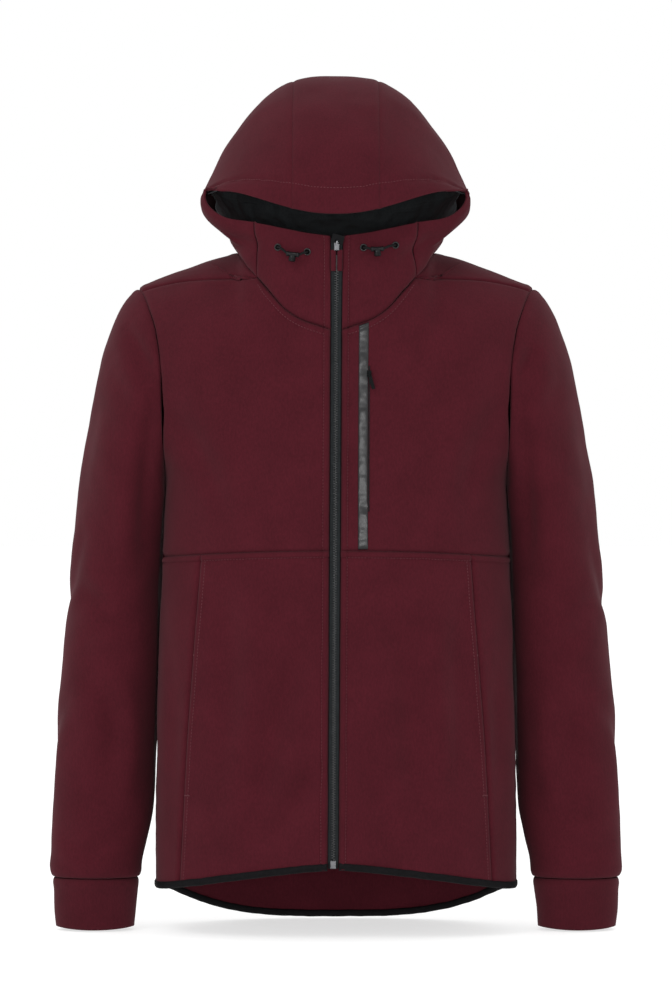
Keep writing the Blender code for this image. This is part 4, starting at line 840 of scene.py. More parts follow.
def knit(name, colour, sheen, nap, rib=0.25):
    """Brushed knit: fine wales with a short nap, and a slow drift of its colour."""
    finish = Finish(name, 0.86, Sheen_Weight=sheen, Sheen_Roughness=0.55,
                    Sheen_Tint=(1.0, 0.62, 0.66, 1.0), Specular_IOR_Level=0.06)
    drift = finish.ramp(finish.noise(26.0, 6.0), (0.34, shade(colour, 0.84)), (0.66, shade(colour, 1.13)))
    grain = finish.ramp(finish.noise(620.0, 3.0, (1.0, 1.0, 0.45)), (0.34, shade(colour, 0.80)),
                        (0.68, shade(colour, 1.22)))
    finish.colour(finish.blend(drift, grain, 0.5))
    wales = finish.node("ShaderNodeTexWave", wave_type="BANDS", bands_direction="X", Scale=230.0,
                        Distortion=2.5, Detail=2.0)
    wales.inputs["Detail Scale"].default_value = 3.0
    finish.link(finish.scaled((1, 1, 0.3)), wales.inputs["Vector"])
    height = finish.sum(finish.noise(900.0, 3.0, (1, 1, 0.6)), wales.outputs["Fac"], rib)
    finish.bump(height, nap, 0.0004)
    return finish.made


def woven(name, colour, roughness, scale=900.0, strength=0.35, **sockets):
    """Plain weave: two crossed sets of fine threads."""
    finish = Finish(name, roughness, **sockets)
    heights = []
    for direction in ("X", "Z"):
        wave = finish.node("ShaderNodeTexWave", wave_type="BANDS", bands_direction=direction,
                           Scale=scale, Distortion=0.6)
        finish.link(finish.place, wave.inputs["Vector"])
        heights.append(wave.outputs["Fac"])
    height = finish.sum(heights[0], heights[1], 1.0)
    finish.colour(finish.ramp(finish.noise(300.0), (0.3, shade(colour, 0.8)), (0.7, shade(colour, 1.25))))
    finish.bump(height, strength, 0.00025)
    return finish.made


def moulded(name, colour, roughness, metallic=0.0, grain=400.0, strength=0.08, **sockets):
    """Moulded, painted or plated surface with slight handling marks."""
    finish = Finish(name, roughness, metallic, **sockets)
    worn = finish.ramp(finish.noise(90.0, 4.0), (0.35, shade(colour, 0.85)), (0.75, shade(colour, 1.3)))
    finish.colour(worn)
    finish.bump(finish.noise(grain, 3.0), strength, 0.0002)
    return finish.made


BURGUNDY = (0.050, 0.0056, 0.0100)
CLOTH = knit("burgundy_knit", BURGUNDY, 0.05, 0.30)
CUFF_CLOTH = knit("burgundy_cuff_knit", shade(BURGUNDY, 0.92), 0.07, 0.35, 0.5)
THREAD = woven("burgundy_thread", shade(BURGUNDY, 1.5), 0.7, 1500.0)
LINING = knit("black_lining_knit", (0.046, 0.050, 0.053), 0.04, 0.25)
BINDING = woven("black_binding", (0.0055, 0.0052, 0.0058), 0.72, 700.0, 0.4, Specular_IOR_Level=0.06)
TAPE = woven("black_zip_tape", (0.0110, 0.0125, 0.0135), 0.42, 700.0, 0.25, Specular_IOR_Level=0.05)
COIL = moulded("black_coil", (0.010, 0.011, 0.012), 0.40)
GLOSS = moulded("gloss_black_tape", (0.0080, 0.0080, 0.0088), 0.30, 0.0, 160.0, 0.10,
                Specular_IOR_Level=0.32)
STEEL = moulded("dark_plate", (0.075, 0.075, 0.079), 0.34, 1.0)
PULL = moulded("dark_pull_paint", (0.0034, 0.0034, 0.0038), 0.50, Specular_IOR_Level=0.06)
EYELET = moulded("black_eyelet_paint", (0.0060, 0.0060, 0.0064), 0.30, Specular_IOR_Level=0.35)
# Painted shade: the near-black disc in each eyelet stands in for the shadow inside its hole
HOLE = moulded("eyelet_hole_shade", (0.002, 0.002, 0.002), 0.9, Specular_IOR_Level=0.05)
CORD = woven("black_braid", (0.0045, 0.0045, 0.0050), 0.62, 1400.0, 0.5, Specular_IOR_Level=0.15)
PLASTIC = moulded("black_moulded_lock", (0.0040, 0.0040, 0.0045), 0.34, Specular_IOR_Level=0.18)


# ---------------------------------------------------------------- cloth pieces


def faces_inside(grid, inside):
    """Whether a grid's faces look towards a point rather than away from it."""
    area = np.cross(grid[1:, 1:] - grid[:-1, :-1], grid[:-1, 1:] - grid[1:, :-1])
    middle = (grid[1:, 1:] + grid[:-1, :-1]) / 2
    return (area * (middle - inside)).sum() < 0


class Sheet:
    """One piece of cloth: its outer face's points, and its faces, which look away from a point."""

    def __init__(self, grids, inside):
        count = 0
        rows, quads = [], []
        for grid in grids:
            if faces_inside(grid, inside):
                grid = grid[::-1]
            lines, places = grid.shape[:2]
            number = count + np.arange(lines * places).reshape(lines, places)
            quads.append(np.stack([number[:-1, :-1], number[1:, :-1], number[1:, 1:],
                                   number[:-1, 1:]], axis=-1).reshape(-1, 4))
            rows.append(grid.reshape(-1, 3))
            count += lines * places
        every = np.vstack(rows)
        _, first, index = np.unique(np.round(every * 2e5).astype(np.int64), axis=0,
                                    return_index=True, return_inverse=True)
        self.points = every[first]
        quads = index.reshape(-1)[np.vstack(quads)]
        faces = [list(dict.fromkeys(face)) for face in quads.tolist()]
        self.faces = [face for face in faces if len(face) > 2]
        self.quads = np.array([face + face[:1] * (4 - len(face)) for face in self.faces])

    def normals(self):
        corners = self.points[self.quads]
        area = np.cross(corners[:, 2] - corners[:, 0], corners[:, 3] - corners[:, 1])
        found = np.zeros_like(self.points)
        for i in range(4):
            np.add.at(found, self.quads[:, i], area)
        return found / np.maximum(np.linalg.norm(found, axis=1, keepdims=True), 1e-12)

    def rim(self):
        """The points on the rim."""
        ends = np.vstack([self.quads[:, [i, (i + 1) % 4]] for i in range(4)])
        ends = np.sort(ends[ends[:, 0] != ends[:, 1]], axis=1)
        pairs, count = np.unique(ends, axis=0, return_counts=True)
        return np.unique(pairs[count == 1])


def distance_to(points, targets):
    """Each point's distance to the nearest of the targets."""
    tree = KDTree(len(targets))
    for i, place in enumerate(targets):
        tree.insert(place, i)
    tree.balance()
    return np.array([tree.find(point)[2] for point in points])


def rough(points, size, seed):
    """Smooth unevenness from -1 to 1 with bumps of about this size."""
    offset = Vector((seed * 3.1, seed * 7.7, seed * 1.3))
    return np.array([noise.noise(Vector(point) / size + offset) for point in points])


def creased(points, normals, creases):
    """How far the creases move the cloth out at each point. Each crease is a curved ridge, or a
    trough where its depth is below 0, along a path seen from one side."""
    moved = np.zeros(len(points))
    for view, path, depth, width in creases:
        first, second, out, sign = VIEWS[view]
        facing = smooth_step(0.05, 0.45, normals[:, out] * sign)
        line = trace([(a, 0.0, b) for a, b in path], np.linspace(0, 1, 41))[:, [0, 2]]
        flat = points[:, [first, second]]
        low, high = line.min(axis=0) - 3 * width, line.max(axis=0) + 3 * width
        near = np.flatnonzero(((flat > low) & (flat < high)).all(axis=1) & (facing > 0))
        if not len(near):
            continue
        gaps = np.linalg.norm(flat[near, None] - line[None], axis=2)
        best = gaps.argmin(axis=1)
        away = gaps[np.arange(len(near)), best]
        along = best / (len(line) - 1)
        taper = np.clip(np.sin(np.pi * along), 0, 1) ** 0.7
        shape = np.exp(-(away / width) ** 2) - 0.35 * np.exp(-(((away - 2.0 * width) / width) ** 2))
        moved[near] += depth * facing[near] * taper * shape
    return moved


def shell(name, sheet, look, thickness):
    """The sheet as an object with its thickness turned inwards."""
    mesh = bpy.data.meshes.new(name)
    mesh.from_pydata(sheet.points.tolist(), [], sheet.faces)
    mesh.validate()
    mesh.materials.append(look)
    mesh.shade_smooth()
    made = bpy.data.objects.new(name, mesh)
    bpy.context.scene.collection.objects.link(made)
    thick = made.modifiers.new("thickness", "SOLIDIFY")
    thick.thickness = thickness
    thick.offset = -1
    thick.use_even_offset = False
    return made


def add_mesh(name, corners, faces, look):
    """Corners and faces as an object, smooth except at its sharp edges."""
    mesh = bpy.data.meshes.new(name)
    mesh.from_pydata([tuple(map(float, p)) for p in corners], [], [list(f) for f in faces])
    mesh.validate()
    mesh.materials.append(look)
    mesh.shade_smooth()
    mesh.set_sharp_from_angle(angle=math.radians(50))
    made = bpy.data.objects.new(name, mesh)
    bpy.context.scene.collection.objects.link(made)
    return made


def stitched_band(points, curve, width):
    """How far a topstitched allowance stands out: raised up to its stitching, with a groove there.
    Without a width, the curve is the stitching itself."""
    curve = spaced(curve, np.linspace(0, 1, max(3, int(run_along(curve)[-1] / 0.0015))))
    away = distance_to(points, curve)
    if not width:
        puff = 0.5 * BAND_RISE * np.exp(-((away - LINE_PUFF_OFF) / LINE_PUFF_WIDTH) ** 2)
        return -BAND_GROOVE * np.exp(-(away / LINE_GROOVE_WIDTH) ** 2) + puff
    raised = smooth_step(0.0004, 0.0020, away) * (1 - smooth_step(width - 0.0006, width + 0.0012, away))
    return BAND_RISE * raised - BAND_GROOVE * np.exp(-((away - width) / GROOVE_WIDTH) ** 2)


def finish_sheet(name, grids, look, inside, slot, free=None, creases=(), puff=0.0006,
                 tuck=SEAM_TUCK, bands=()):
    """A panel: its seams drawn in, the cloth beside them a little full and puckered, its creases,
    and the slow unevenness that all of it has. Its rim is a seam, but for the points that are free."""
    sheet = Sheet(grids, inside)
    normals = sheet.normals()
    rim = sheet.rim()
    if free is not None:
        rim = rim[distance_to(sheet.points[rim], free) > 0.0004]
    (slow, slow_size), (quick, quick_size) = UNEVEN
    out = slow * rough(sheet.points, slow_size, 1) + quick * rough(sheet.points, quick_size, 2)
    away = distance_to(sheet.points, sheet.points[rim])
    near = np.exp(-((away - FULL_OFF_SEAM) / FULL_WIDTH) ** 2)
    out *= smooth_step(0.0, CALM_BY_SEAM, away)
    out += near * puff * (1 + 0.9 * rough(sheet.points, PUCKER_SIZE, 3))
    out -= tuck * np.exp(-(away / TUCK_WIDTH) ** 2)
    out += creased(sheet.points, normals, creases)
    for curve, width in bands:
        out += stitched_band(sheet.points, curve, width) * (1 + 0.35 * rough(sheet.points, 0.008, 4))
    sheet.points = sheet.points + normals * out[:, None]
    show_sheet(name, sheet, look)


def show_sheet(name, sheet, look, thickness=WALL):
    """The cloth in place of the model's solid of that name."""
    made = shell(f"{name}_cloth", sheet, look, thickness)
    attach(made, BODY)
    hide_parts(name)
    SHEETS[name] = sheet


def surface(*names):
    """The outer faces of some finished panels, to lay things on."""
    corners, faces = [], []
    for name in names:
        sheet = SHEETS[name]
        faces += [[i + len(corners) for i in face] for face in sheet.faces]
        corners += sheet.points.tolist()
    return BVHTree.FromPolygons(corners, faces)


def on_surface(tree, points):
    """The nearest places on a surface, and the directions out of it."""
    found = [tree.find_nearest(Vector(point))[:2] for point in points]
    return np.array([place for place, _ in found]), np.array([out for _, out in found])


# ---------------------------------------------------------------- panels


HEM_KEYS = np.linspace(0, 1, 5)
CHEST_KEYS = np.linspace(0, 1, 3)
UPPER_KEYS = np.linspace(0, 1, 10)


def split_rows(places, stages):
    """The rows of each stage of a panel's height, from places that run through the stages."""
    found = []
    for i in range(stages):
        from_start = places >= -1e-9 if i == 0 else places > i
        to_end = places <= i + 1 + (1e-9 if i == stages - 1 else 0)
        found.append(places[from_start & to_end] - i)
    return found


def half_grid(side, front, first, last, stages):
    """A fine grid of half the body between two lines. The stages name the rows that it spans."""
    lines = np.arange(first, last + 1)
    keys = {"hem": HEM_KEYS, "chest": CHEST_KEYS, "upper": UPPER_KEYS}
    coarse_rows = [keys[name] if name in stages else np.array([]) for name in keys]
    if stages[0] == "hem" and "chest" in stages:
        coarse_rows[1] = coarse_rows[1][1:]
    if "upper" in stages:
        coarse_rows[2] = coarse_rows[2][1:]
    coarse = body_grid(side, front, lines, *coarse_rows)
    run = [0.0]
    for i, name in enumerate(stages):
        run += list(i + keys[name][1:])
    rows = fine_places(coarse, np.array(run), 1)
    at = fine_places(coarse, lines, 0)
    parts = dict(zip(stages, split_rows(rows, len(stages))))
    return body_grid(side, front, at, *(parts.get(name, np.array([])) for name in keys))


def inset(grid, axis, from_end, distance):
    """A line across the grid at a distance from one of its ends, measured along the cloth."""
    lines = grid if axis == 1 else np.swapaxes(grid, 0, 1)
    found = []
    for line in lines:
        line = line[::-1] if from_end else line
        run = run_along(line)
        found.append([np.interp(distance, run, line[:, i]) for i in range(3)])
    return np.array(found)


def joined_halves(halves):
    """One grid from the right half and the left, which share their first line."""
    return np.concatenate([halves["R"][::-1], halves["L"][1:]])


def neck_lines(upper):
    """How many of the upper front's lines end on the neck seam."""
    edge = follow(FRONT_LINES, "top_x", float(NECK_LINE))
    return int((np.abs(upper[:, -1, 0]) <= edge + 0.0005).sum())


def build_fronts():
    grids = {}
    for side, sign in SIDES.items():
        lower = half_grid(sign, True, 0, SIDE_FRONT_LINE, ("hem",))
        outer = half_grid(sign, True, SIDE_FRONT_LINE, 11, ("hem",))
        upper = half_grid(sign, True, 0, 11, ("chest", "upper"))
        grids[side] = {"lower": lower, "outer": outer, "upper": upper}
        common = {"free": np.vstack([lower[:, 0], outer[:, 0]]), "creases": BODY_CREASES}
        panels = {
            "front_lower": (lower, [lower[0], lower[:, -1]]),
            "side_front": (outer, [outer[:, -1]]),
            "front_upper": (upper, [upper[0], upper[: neck_lines(upper), -1]]),
        }
        for name, (grid, seams) in panels.items():
            finish_sheet(f"{name}_{side}", [grid], CLOTH, MIDDLE, "cloth",
                         bands=[(seam, TOPSTITCH) for seam in seams], **common)
    return grids


def build_back():
    stages = ("hem", "chest", "upper")
    halves = {side: half_grid(sign, False, 0, 13, stages) for side, sign in SIDES.items()}
    grid = joined_halves(halves)
    tops = grid[:, -1]
    finish_sheet("back", [grid], CLOTH, MIDDLE, "cloth", free=grid[:, 0], creases=BODY_CREASES,
                 bands=[(tops[tops[:, 1] > 0.01], TOPSTITCH)])
    return grid


def build_sleeves():
    for side, sign in SIDES.items():
        rows = np.linspace(0, 1, 61)
        front = body_grid(sign, True, [11], [], [1.0], rows[1:])[0]
        back = body_grid(sign, False, [13], [], [1.0], rows[1:])[0]
        loop = np.vstack([front, back[:-1][::-1]])[:-1]
        loop = spaced(np.vstack([loop, loop[:1]]), np.linspace(0, 1, SLEEVE_ROUND + 1))[:-1]
        coarse, _ = sleeve_grid(loop, sign, SLEEVE["ring"].astype(float))
        at = fine_places(coarse, SLEEVE["ring"], 0)
        sleeve, angles = sleeve_grid(loop, sign, at)
        sleeve = bagged(sleeve, angles)
        closed = np.concatenate([sleeve, sleeve[:, :1]], axis=1)
        finish_sheet(f"sleeve_{side}", [closed], CLOTH, sleeve.mean(axis=(0, 1)), "cloth",
                     creases=SLEEVE_CREASES[side])
        levels = np.linspace(CUFF_FOOT_Z, CUFF_TOP_Z, 22)
        cuff = bowed(cuff_grid(angles, sign, levels), sign)
        closed = np.concatenate([cuff, cuff[:, :1]], axis=1)
        finish_sheet(f"cuff_{side}", [closed], CUFF_CLOTH, cuff.mean(axis=(0, 1)), "cuff_cloth",
                     free=cuff[0], tuck=CUFF_TUCK)


def bowed(cuff, side):
    """The cuff with its foot sagging a little at its middle."""
    share = (cuff[:, :, 0] - side * CUFF_MIDDLE_X) / CUFF_HALF
    low = smooth_step(CUFF_TOP_Z, CUFF_FOOT_Z, cuff[:, :, 2])
    cuff[:, :, 2] -= CUFF_BOW * np.clip(1 - share**2, 0, 1) * low
    return cuff


def bagged(sleeve, angles):
    """The sleeve's fullness where it is gathered on to its cuff."""
    run = run_along(sleeve.mean(axis=1))
    left = run[-1] - run
    full = SLEEVE_FULL * np.exp(-((left - 0.011) / 0.010) ** 2) * (left > 0)
    middle = sleeve.mean(axis=1, keepdims=True)
    out = sleeve - middle
    out /= np.linalg.norm(out, axis=-1, keepdims=True)
    side_share = np.abs(np.cos(angles))[None, :, None]
    return sleeve + out * full[:, None, None] * (0.35 + 0.65 * side_share)


def hood_half(sign):
    """The fine grids of half the hood, each from a coarse one that gives the cloth's lengths."""
    ends, half_ends = np.linspace(0, 1, 9), np.linspace(0, 1, 5)
    keys = np.arange(NECK_LINE + 1)
    coarse = chin_grid(sign, keys, ends)
    at = fine_places(coarse, keys, 0, HOOD_CELL)
    chin = chin_grid(sign, at, fine_places(coarse, ends, 1, HOOD_CELL))
    halves = np.arange(2 * (BACK_NECK_LINE - STRIP_LINE) + 1)
    shares = np.linspace(0, 1, 13)
    coarse = side_grid(sign, halves, shares)
    before = fine_places(coarse[: TO_LOBE + 1], halves[: TO_LOBE + 1], 0, HOOD_CELL)
    behind = fine_places(coarse[TO_LOBE:], halves[TO_LOBE:], 0, HOOD_CELL)
    rows = fine_places(coarse, shares, 1, HOOD_CELL)
    lower = side_grid(sign, np.concatenate([before, behind[1:]]), rows)
    share = (behind - TO_LOBE) / HOOD_RIBS
    coarse = crown_grid(ends, ("base", "seam"), ends, sign)
    crown = crown_grid(share, ("base", "seam"), fine_places(coarse, ends, 1, HOOD_CELL), sign)
    coarse = crown_grid(ends, ("seam", "middle"), half_ends, sign)
    across_shares = fine_places(coarse, half_ends, 1, HOOD_CELL)
    strip = crown_grid(share, ("seam", "middle"), across_shares, sign)
    shares = np.linspace(0, 1, 41)
    coarse = strip_low_grid(sign, np.linspace(0, 1, 3), shares)
    low = strip_low_grid(sign, across_shares, fine_places(coarse, shares, 1, HOOD_CELL))
    return {"chin": chin, "lower": lower, "crown": crown,
            "rim": np.vstack([chin[:, -1], lower[: len(before), -1]]),
            "strip": np.concatenate([strip, np.swapaxes(low, 0, 1)[::-1][1:]])}


def build_hood():
    grids = {side: hood_half(sign) for side, sign in SIDES.items()}
    centre = joined_halves({side: np.swapaxes(grids[side]["strip"], 0, 1)[::-1] for side in SIDES})
    brim = np.vstack([grids[side]["crown"][0] for side in SIDES] + [centre[:, 0]])
    brims = {side: brim_line(grids[side]) for side in SIDES}
    common = {"creases": HOOD_CREASES}
    smooth = {"tuck": HOOD_TUCK, "puff": HOOD_PUFF, **common}
    for side, parts in grids.items():
        free = np.vstack([brim, parts["rim"], parts["chin"][0]])
        finish_sheet(f"hood_chin_{side}", [parts["chin"]], CLOTH, HOOD_MIDDLE, "cloth", free=free,
                     bands=[(parts["chin"][0], TOPSTITCH)], **common)
        finish_sheet(f"hood_side_{side}", [parts["lower"], parts["crown"]], CLOTH, HOOD_MIDDLE,
                     "cloth", free=free, bands=[(brims[side], 0)], **smooth)
    whole_brim = np.vstack([brims["R"], brims["L"][::-1]])
    finish_sheet("hood_centre", [centre], CLOTH, HOOD_MIDDLE, "cloth", free=brim,
                 bands=[(whole_brim, 0)], **smooth)
    return grids, brims


def brim_line(parts):
    """The brim's hem stitching, from the lobe to the middle: deeper at the middle."""
    crown, strip = parts["crown"], parts["strip"]
    columns = np.swapaxes(np.concatenate([crown, strip[: len(crown), 1:]], axis=1), 0, 1)
    line = []
    for number, column in enumerate(columns):
        share = smooth_step(0.0, 0.75, number / (len(columns) - 1))
        depth = mix(BRIM_HEM_LOBE, BRIM_HEM_MIDDLE, share)
        run = run_along(column)
        line.append([np.interp(depth, run, column[:, i]) for i in range(3)])
    return np.array(line)


# ---------------------------------------------------------------- lining and binding


def build_lining():
    """The dark lining, from a facing's width inside the rim down to the neck."""
    top = LINING_TOP_SHARE
    rows = np.linspace(0, top, 44)
    full = np.concatenate([rows, np.linspace(top, 1, 9)[1:]])
    first = 1 / HOOD_RIBS
    grids = []
    for sign in SIDES.values():
        grids.append(chin_grid(sign, np.linspace(0, NECK_LINE, 40), rows))
        grids.append(side_grid(sign, np.linspace(0, TO_LOBE + 1, 40), rows, 0.0))
        behind = np.linspace(first, 1, 64)
        grids.append(side_grid(sign, TO_LOBE + HOOD_RIBS * behind, full, 0.0))
        grids.append(crown_grid(behind, ("base", "seam"), np.linspace(0, 1, 50), sign))
        across_shares = np.linspace(0, 1, 16)
        grids.append(crown_grid(behind, ("seam", "middle"), across_shares, sign))
        grids.append(strip_low_grid(sign, across_shares, full))
    sheet = Sheet(grids, HOOD_MIDDLE)
    normals = sheet.normals()
    sag = 0.5 + 0.5 * rough(sheet.points * (1, 1, 0.45), 0.030, 5)
    ripple = rough(sheet.points * (1, 1, 0.5), 0.012, 6)
    away = distance_to(sheet.points, sheet.points[sheet.rim()])
    loose = smooth_step(0, 0.02, away)
    depth = LINING_DEPTH + loose * (LINING_SAG * sag + LINING_RIPPLE * ripple)
    sheet.points = sheet.points - normals * depth[:, None]
    show_sheet("hood_lining", sheet, LINING, LINING_WALL)


def build_neck_allowance():
    """The neck seam's own turned edges, inside, from one side of the zip round to the other."""
    half = {}
    for side, sign in SIDES.items():
        at = np.linspace(0, NECK_LINE, 60)
        lean = zip_x(NECK_FRONT["z"][0]) * np.clip(1 - at, 0, 1)
        x, turn = front_top(at)
        front = body_point(sign * x + lean, turn)
        back = neck_points(sign, np.linspace(0, BACK_NECK_LINE, 90))
        half[side] = np.vstack([front, back[::-1][1:]])
    line = np.vstack([half["R"], half["L"][::-1][1:]])
    line = spaced(line, np.linspace(0, 1, 260))
    inward = NECK_MIDDLE - line
    inward[:, 2] = 0
    inward /= np.linalg.norm(inward, axis=1, keepdims=True)
    line = line + inward * NECK_ALLOWANCE_IN
    heights = np.linspace(-1, 1, 5) * NECK_ALLOWANCE_HALF
    sheet = Sheet([np.array([line + (0, 0, z) for z in heights])], NECK_MIDDLE)
    made = shell("neck_seam_allowance", sheet, CLOTH, NECK_ALLOWANCE_WALL)
    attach(made, BODY)


def hem_path():
    """The hem's edge from the zip round the back to the zip, and the points just above it."""
    fronts = {side: np.concatenate([FRONTS[side]["lower"][:, :2], FRONTS[side]["outer"][1:, :2]])
              for side in SIDES}
    both = np.concatenate([fronts["R"], BACK[1:-1, :2], fronts["L"][::-1]])
    return both[:, 0], both[:, 1]


def build_binding():
    """The folded binding round the hem, puckered by its stitching."""
    line, above = hem_path()
    count = int(run_along(line)[-1] / BINDING_STEP)
    shares = np.linspace(0, 1, count)
    up = above - line
    up /= np.linalg.norm(up, axis=1, keepdims=True)
    run = run_along(line) / run_along(line)[-1]
    up = np.stack([np.interp(shares, run, up[:, i]) for i in range(3)], axis=1)
    up /= np.linalg.norm(up, axis=1, keepdims=True)
    line = spaced(line, shares)
    ahead = np.gradient(line, axis=0)
    out = np.cross(up, ahead)
    out /= np.linalg.norm(out, axis=1, keepdims=True)
    middle = np.array([0, 0, line[:, 2].mean()])
    out *= np.sign(((line - middle) * out).sum(axis=1).mean())
    wave = rough(line, 0.010, 8)
    wave_fine = rough(line, 0.0045, 9)
    grid = []
    for a, b, full in BINDING_PROFILE:
        puff = full * (1 + 0.5 * wave + 0.35 * wave_fine)
        grid.append(line + out * (a + np.sign(a) * puff)[:, None] + up * (b + 0.0004 * wave)[:, None])
    sheet = Sheet([np.array(grid)], line.mean(axis=0))
    show_sheet("hem_binding", sheet, BINDING, BINDING_WALL)
    stitched = line + out * BINDING_STITCH_OUT + up * BINDING_STITCH_UP
    lay_stitches("binding_stitches", stitched, out, STITCH_BLACK, BINDING)


# ---------------------------------------------------------------- stitches


def lay_stitches(name, line, outs, size, look):
    """A row of short thread stitches along a line, each a rounded bar pressed into the cloth."""
    pitch, length, radius = size
    run = run_along(line)
    count = int(run[-1] / pitch)
    places = (np.arange(count) + 0.5) * run[-1] / count
    outs = np.stack([np.interp(places, run, outs[:, i]) for i in range(3)], axis=1)
    outs /= np.linalg.norm(outs, axis=1, keepdims=True)
    starts = np.stack([np.interp(places - length / 2, run, line[:, i]) for i in range(3)], axis=1)
    ends = np.stack([np.interp(places + length / 2, run, line[:, i]) for i in range(3)], axis=1)
    sides = STITCH_SIDES
    angles = np.linspace(0, 2 * math.pi, sides, endpoint=False)
    corners, faces = [], []
    for a, b, out in zip(starts, ends, outs):
        along = (b - a) / max(np.linalg.norm(b - a), 1e-9)
        wide = np.cross(out, along)
        first = len(corners)
        for share, full, lift in STITCH_RINGS:
            middle = mix(a, b, share) + out * radius * lift
            for angle in angles:
                spoke = wide * math.cos(angle) + 0.8 * out * math.sin(angle)
                corners.append(middle + radius * full * spoke)
        for ring in range(len(STITCH_RINGS) - 1):
            for i in range(sides):
                j = (i + 1) % sides
                low = first + ring * sides
                faces.append((low + i, low + j, low + sides + j, low + sides + i))
        faces.append([first + i for i in reversed(range(sides))])
        faces.append([first + (len(STITCH_RINGS) - 1) * sides + i for i in range(sides)])
    made = add_mesh(name, corners, faces, look)
    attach(made, BODY)


def stitch_on(name, line, panels, size=STITCH):
    """Stitches along a line that is first laid on the finished panels."""
    line = spaced(line, np.linspace(0, 1, max(3, int(run_along(line)[-1] / 0.0025))))
    places, outs = on_surface(surface(*panels), line)
    lay_stitches(name, places, outs, size, THREAD)


def build_stitches():
    for side in SIDES:
        lower, upper = FRONTS[side]["lower"], FRONTS[side]["upper"]
        parts = HOOD[side]
        low, high, chin = f"front_lower_{side}", f"front_upper_{side}", f"hood_chin_{side}"
        rows = {
            "neck": (inset(upper, 1, True, TOPSTITCH)[: neck_lines(upper)], [high]),
            "zip_high": (inset(upper, 0, False, TOPSTITCH), [high]),
            "zip_low": (inset(lower, 0, False, TOPSTITCH), [low]),
            "zip_chin": (inset(parts["chin"], 0, False, TOPSTITCH), [chin]),
            "chest": (inset(lower, 1, True, TOPSTITCH), [low]),
            "pocket": (inset(lower, 0, True, TOPSTITCH), [low]),
            "brim": (BRIMS[side], [f"hood_side_{side}", "hood_centre"]),
        }
        for name, (line, panels) in rows.items():
            stitch_on(f"{name}_stitches_{side}", line, panels)
        pocket = lower[-1]
        for number, (height, reach) in enumerate(BARTACKS):
            start = [np.interp(height, pocket[:, 2], pocket[:, i]) for i in range(3)]
            row = inset(lower, 0, True, reach)
            end = [np.interp(height, row[:, 2], row[:, i]) for i in range(3)]
            stitch_on(f"bartack_{side}_{number}", np.array([start, end]), [low], size=BARTACK)
    neck = inset(BACK, 1, True, TOPSTITCH)
    stitch_on("back_neck_stitches", neck[BACK[:, -1, 1] > 0.01], ["back"])


# ---------------------------------------------------------------- zip


def zip_edges():
    """The two edges beside the zip, from the hem to the hood's rim."""
    edges = []
    for side in ("R", "L"):
        parts = [FRONTS[side]["lower"][0], FRONTS[side]["upper"][0][1:], HOOD[side]["chin"][0][1:]]
        edges.append(np.vstack(parts))
    return edges


def zip_rows(low, high, pitch):
    """The zip's right and left edges at even heights."""
    right, left = zip_edges()
    heights = (right[:, 2] + left[:, 2]) / 2
    places = np.linspace(low, high, int((high - low) / pitch) + 1)
    return tuple(np.stack([np.interp(places, heights, edge[:, i]) for i in range(3)], axis=1)
                 for edge in (right, left))


def zip_out(right, left):
    up = np.gradient(right + left, axis=0)
    out = np.cross(right - left, up)
    out /= np.linalg.norm(out, axis=1, keepdims=True)
    return out * np.where(out[:, 1:2] > 0, -1, 1)


def band(name, rows, side, profile, look, thickness, node, seed):
    """A strip beside the zip's middle. Its profile gives shares from there and heights out."""
    right, left = rows
    out = zip_out(right, left)
    grid = []
    for share, height in profile:
        line = mix(right, left, 0.5 + side * share) + out * height
        grid.append(line + out * (0.00015 * rough(line, 0.006, seed))[:, None])
    made = shell(name, Sheet([np.array(grid)], BEHIND), look, thickness)
    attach(made, BODY)
    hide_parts(node)


def build_zip():
    foot = HEM_FRONT_Z + ZIP_FOOT_RISE
    rows = zip_rows(foot, ZIP_HEAD_Z, 0.0030)
    for side, sign in (("R", -1), ("L", 1)):
        band(f"zip_tape_{side}_weave", rows, sign, TAPE_PROFILE, TAPE, 0.0006, f"zip_tape_{side}",
             11 + sign)
    build_coil(foot + BOX_HEIGHT, SLIDER_FOOT_Z)
    rows = zip_rows(GARAGE_FOOT_Z, GARAGE_TOP_Z, 0.0008)
    for side, sign in (("R", -1), ("L", 1)):
        band(f"zip_garage_{side}_fold", rows, sign, GARAGE_PROFILE, CLOTH, 0.0008, f"zip_garage_{side}",
             14 + sign)


def build_coil(low, high):
    """The coil's rounded ribs, alternating from the two tapes, as one joined piece."""
    right, left = zip_rows(low, high, COIL_PITCH)
    out = zip_out(right, left)
    up = np.gradient(right, axis=0)
    up /= np.linalg.norm(up, axis=1, keepdims=True)
    corners, faces = [], []
    sides = 6
    section = [(math.cos(a), math.sin(a)) for a in np.linspace(0, 2 * math.pi, sides, endpoint=False)]
    for number in range(len(right)):
        first = len(corners)
        for share in (0.34, 0.53) if number % 2 else (0.47, 0.66):
            place = mix(right[number], left[number], share) + out[number] * COIL_LIFT
            for b, a in section:
                corners.append(place + out[number] * a * COIL_THICK + up[number] * b * 0.45 * COIL_PITCH)
        for i in range(sides):
            j = (i + 1) % sides
            faces.append((first + i, first + j, first + sides + j, first + sides + i))
        faces.append([first + i for i in reversed(range(sides))])
        faces.append([first + sides + i for i in range(sides)])
    made = add_mesh("zip_coil_ribs", corners, faces, COIL)
    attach(made, BODY)
    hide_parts("zip_coil")


# ---------------------------------------------------------------- chest tape and pocket zip


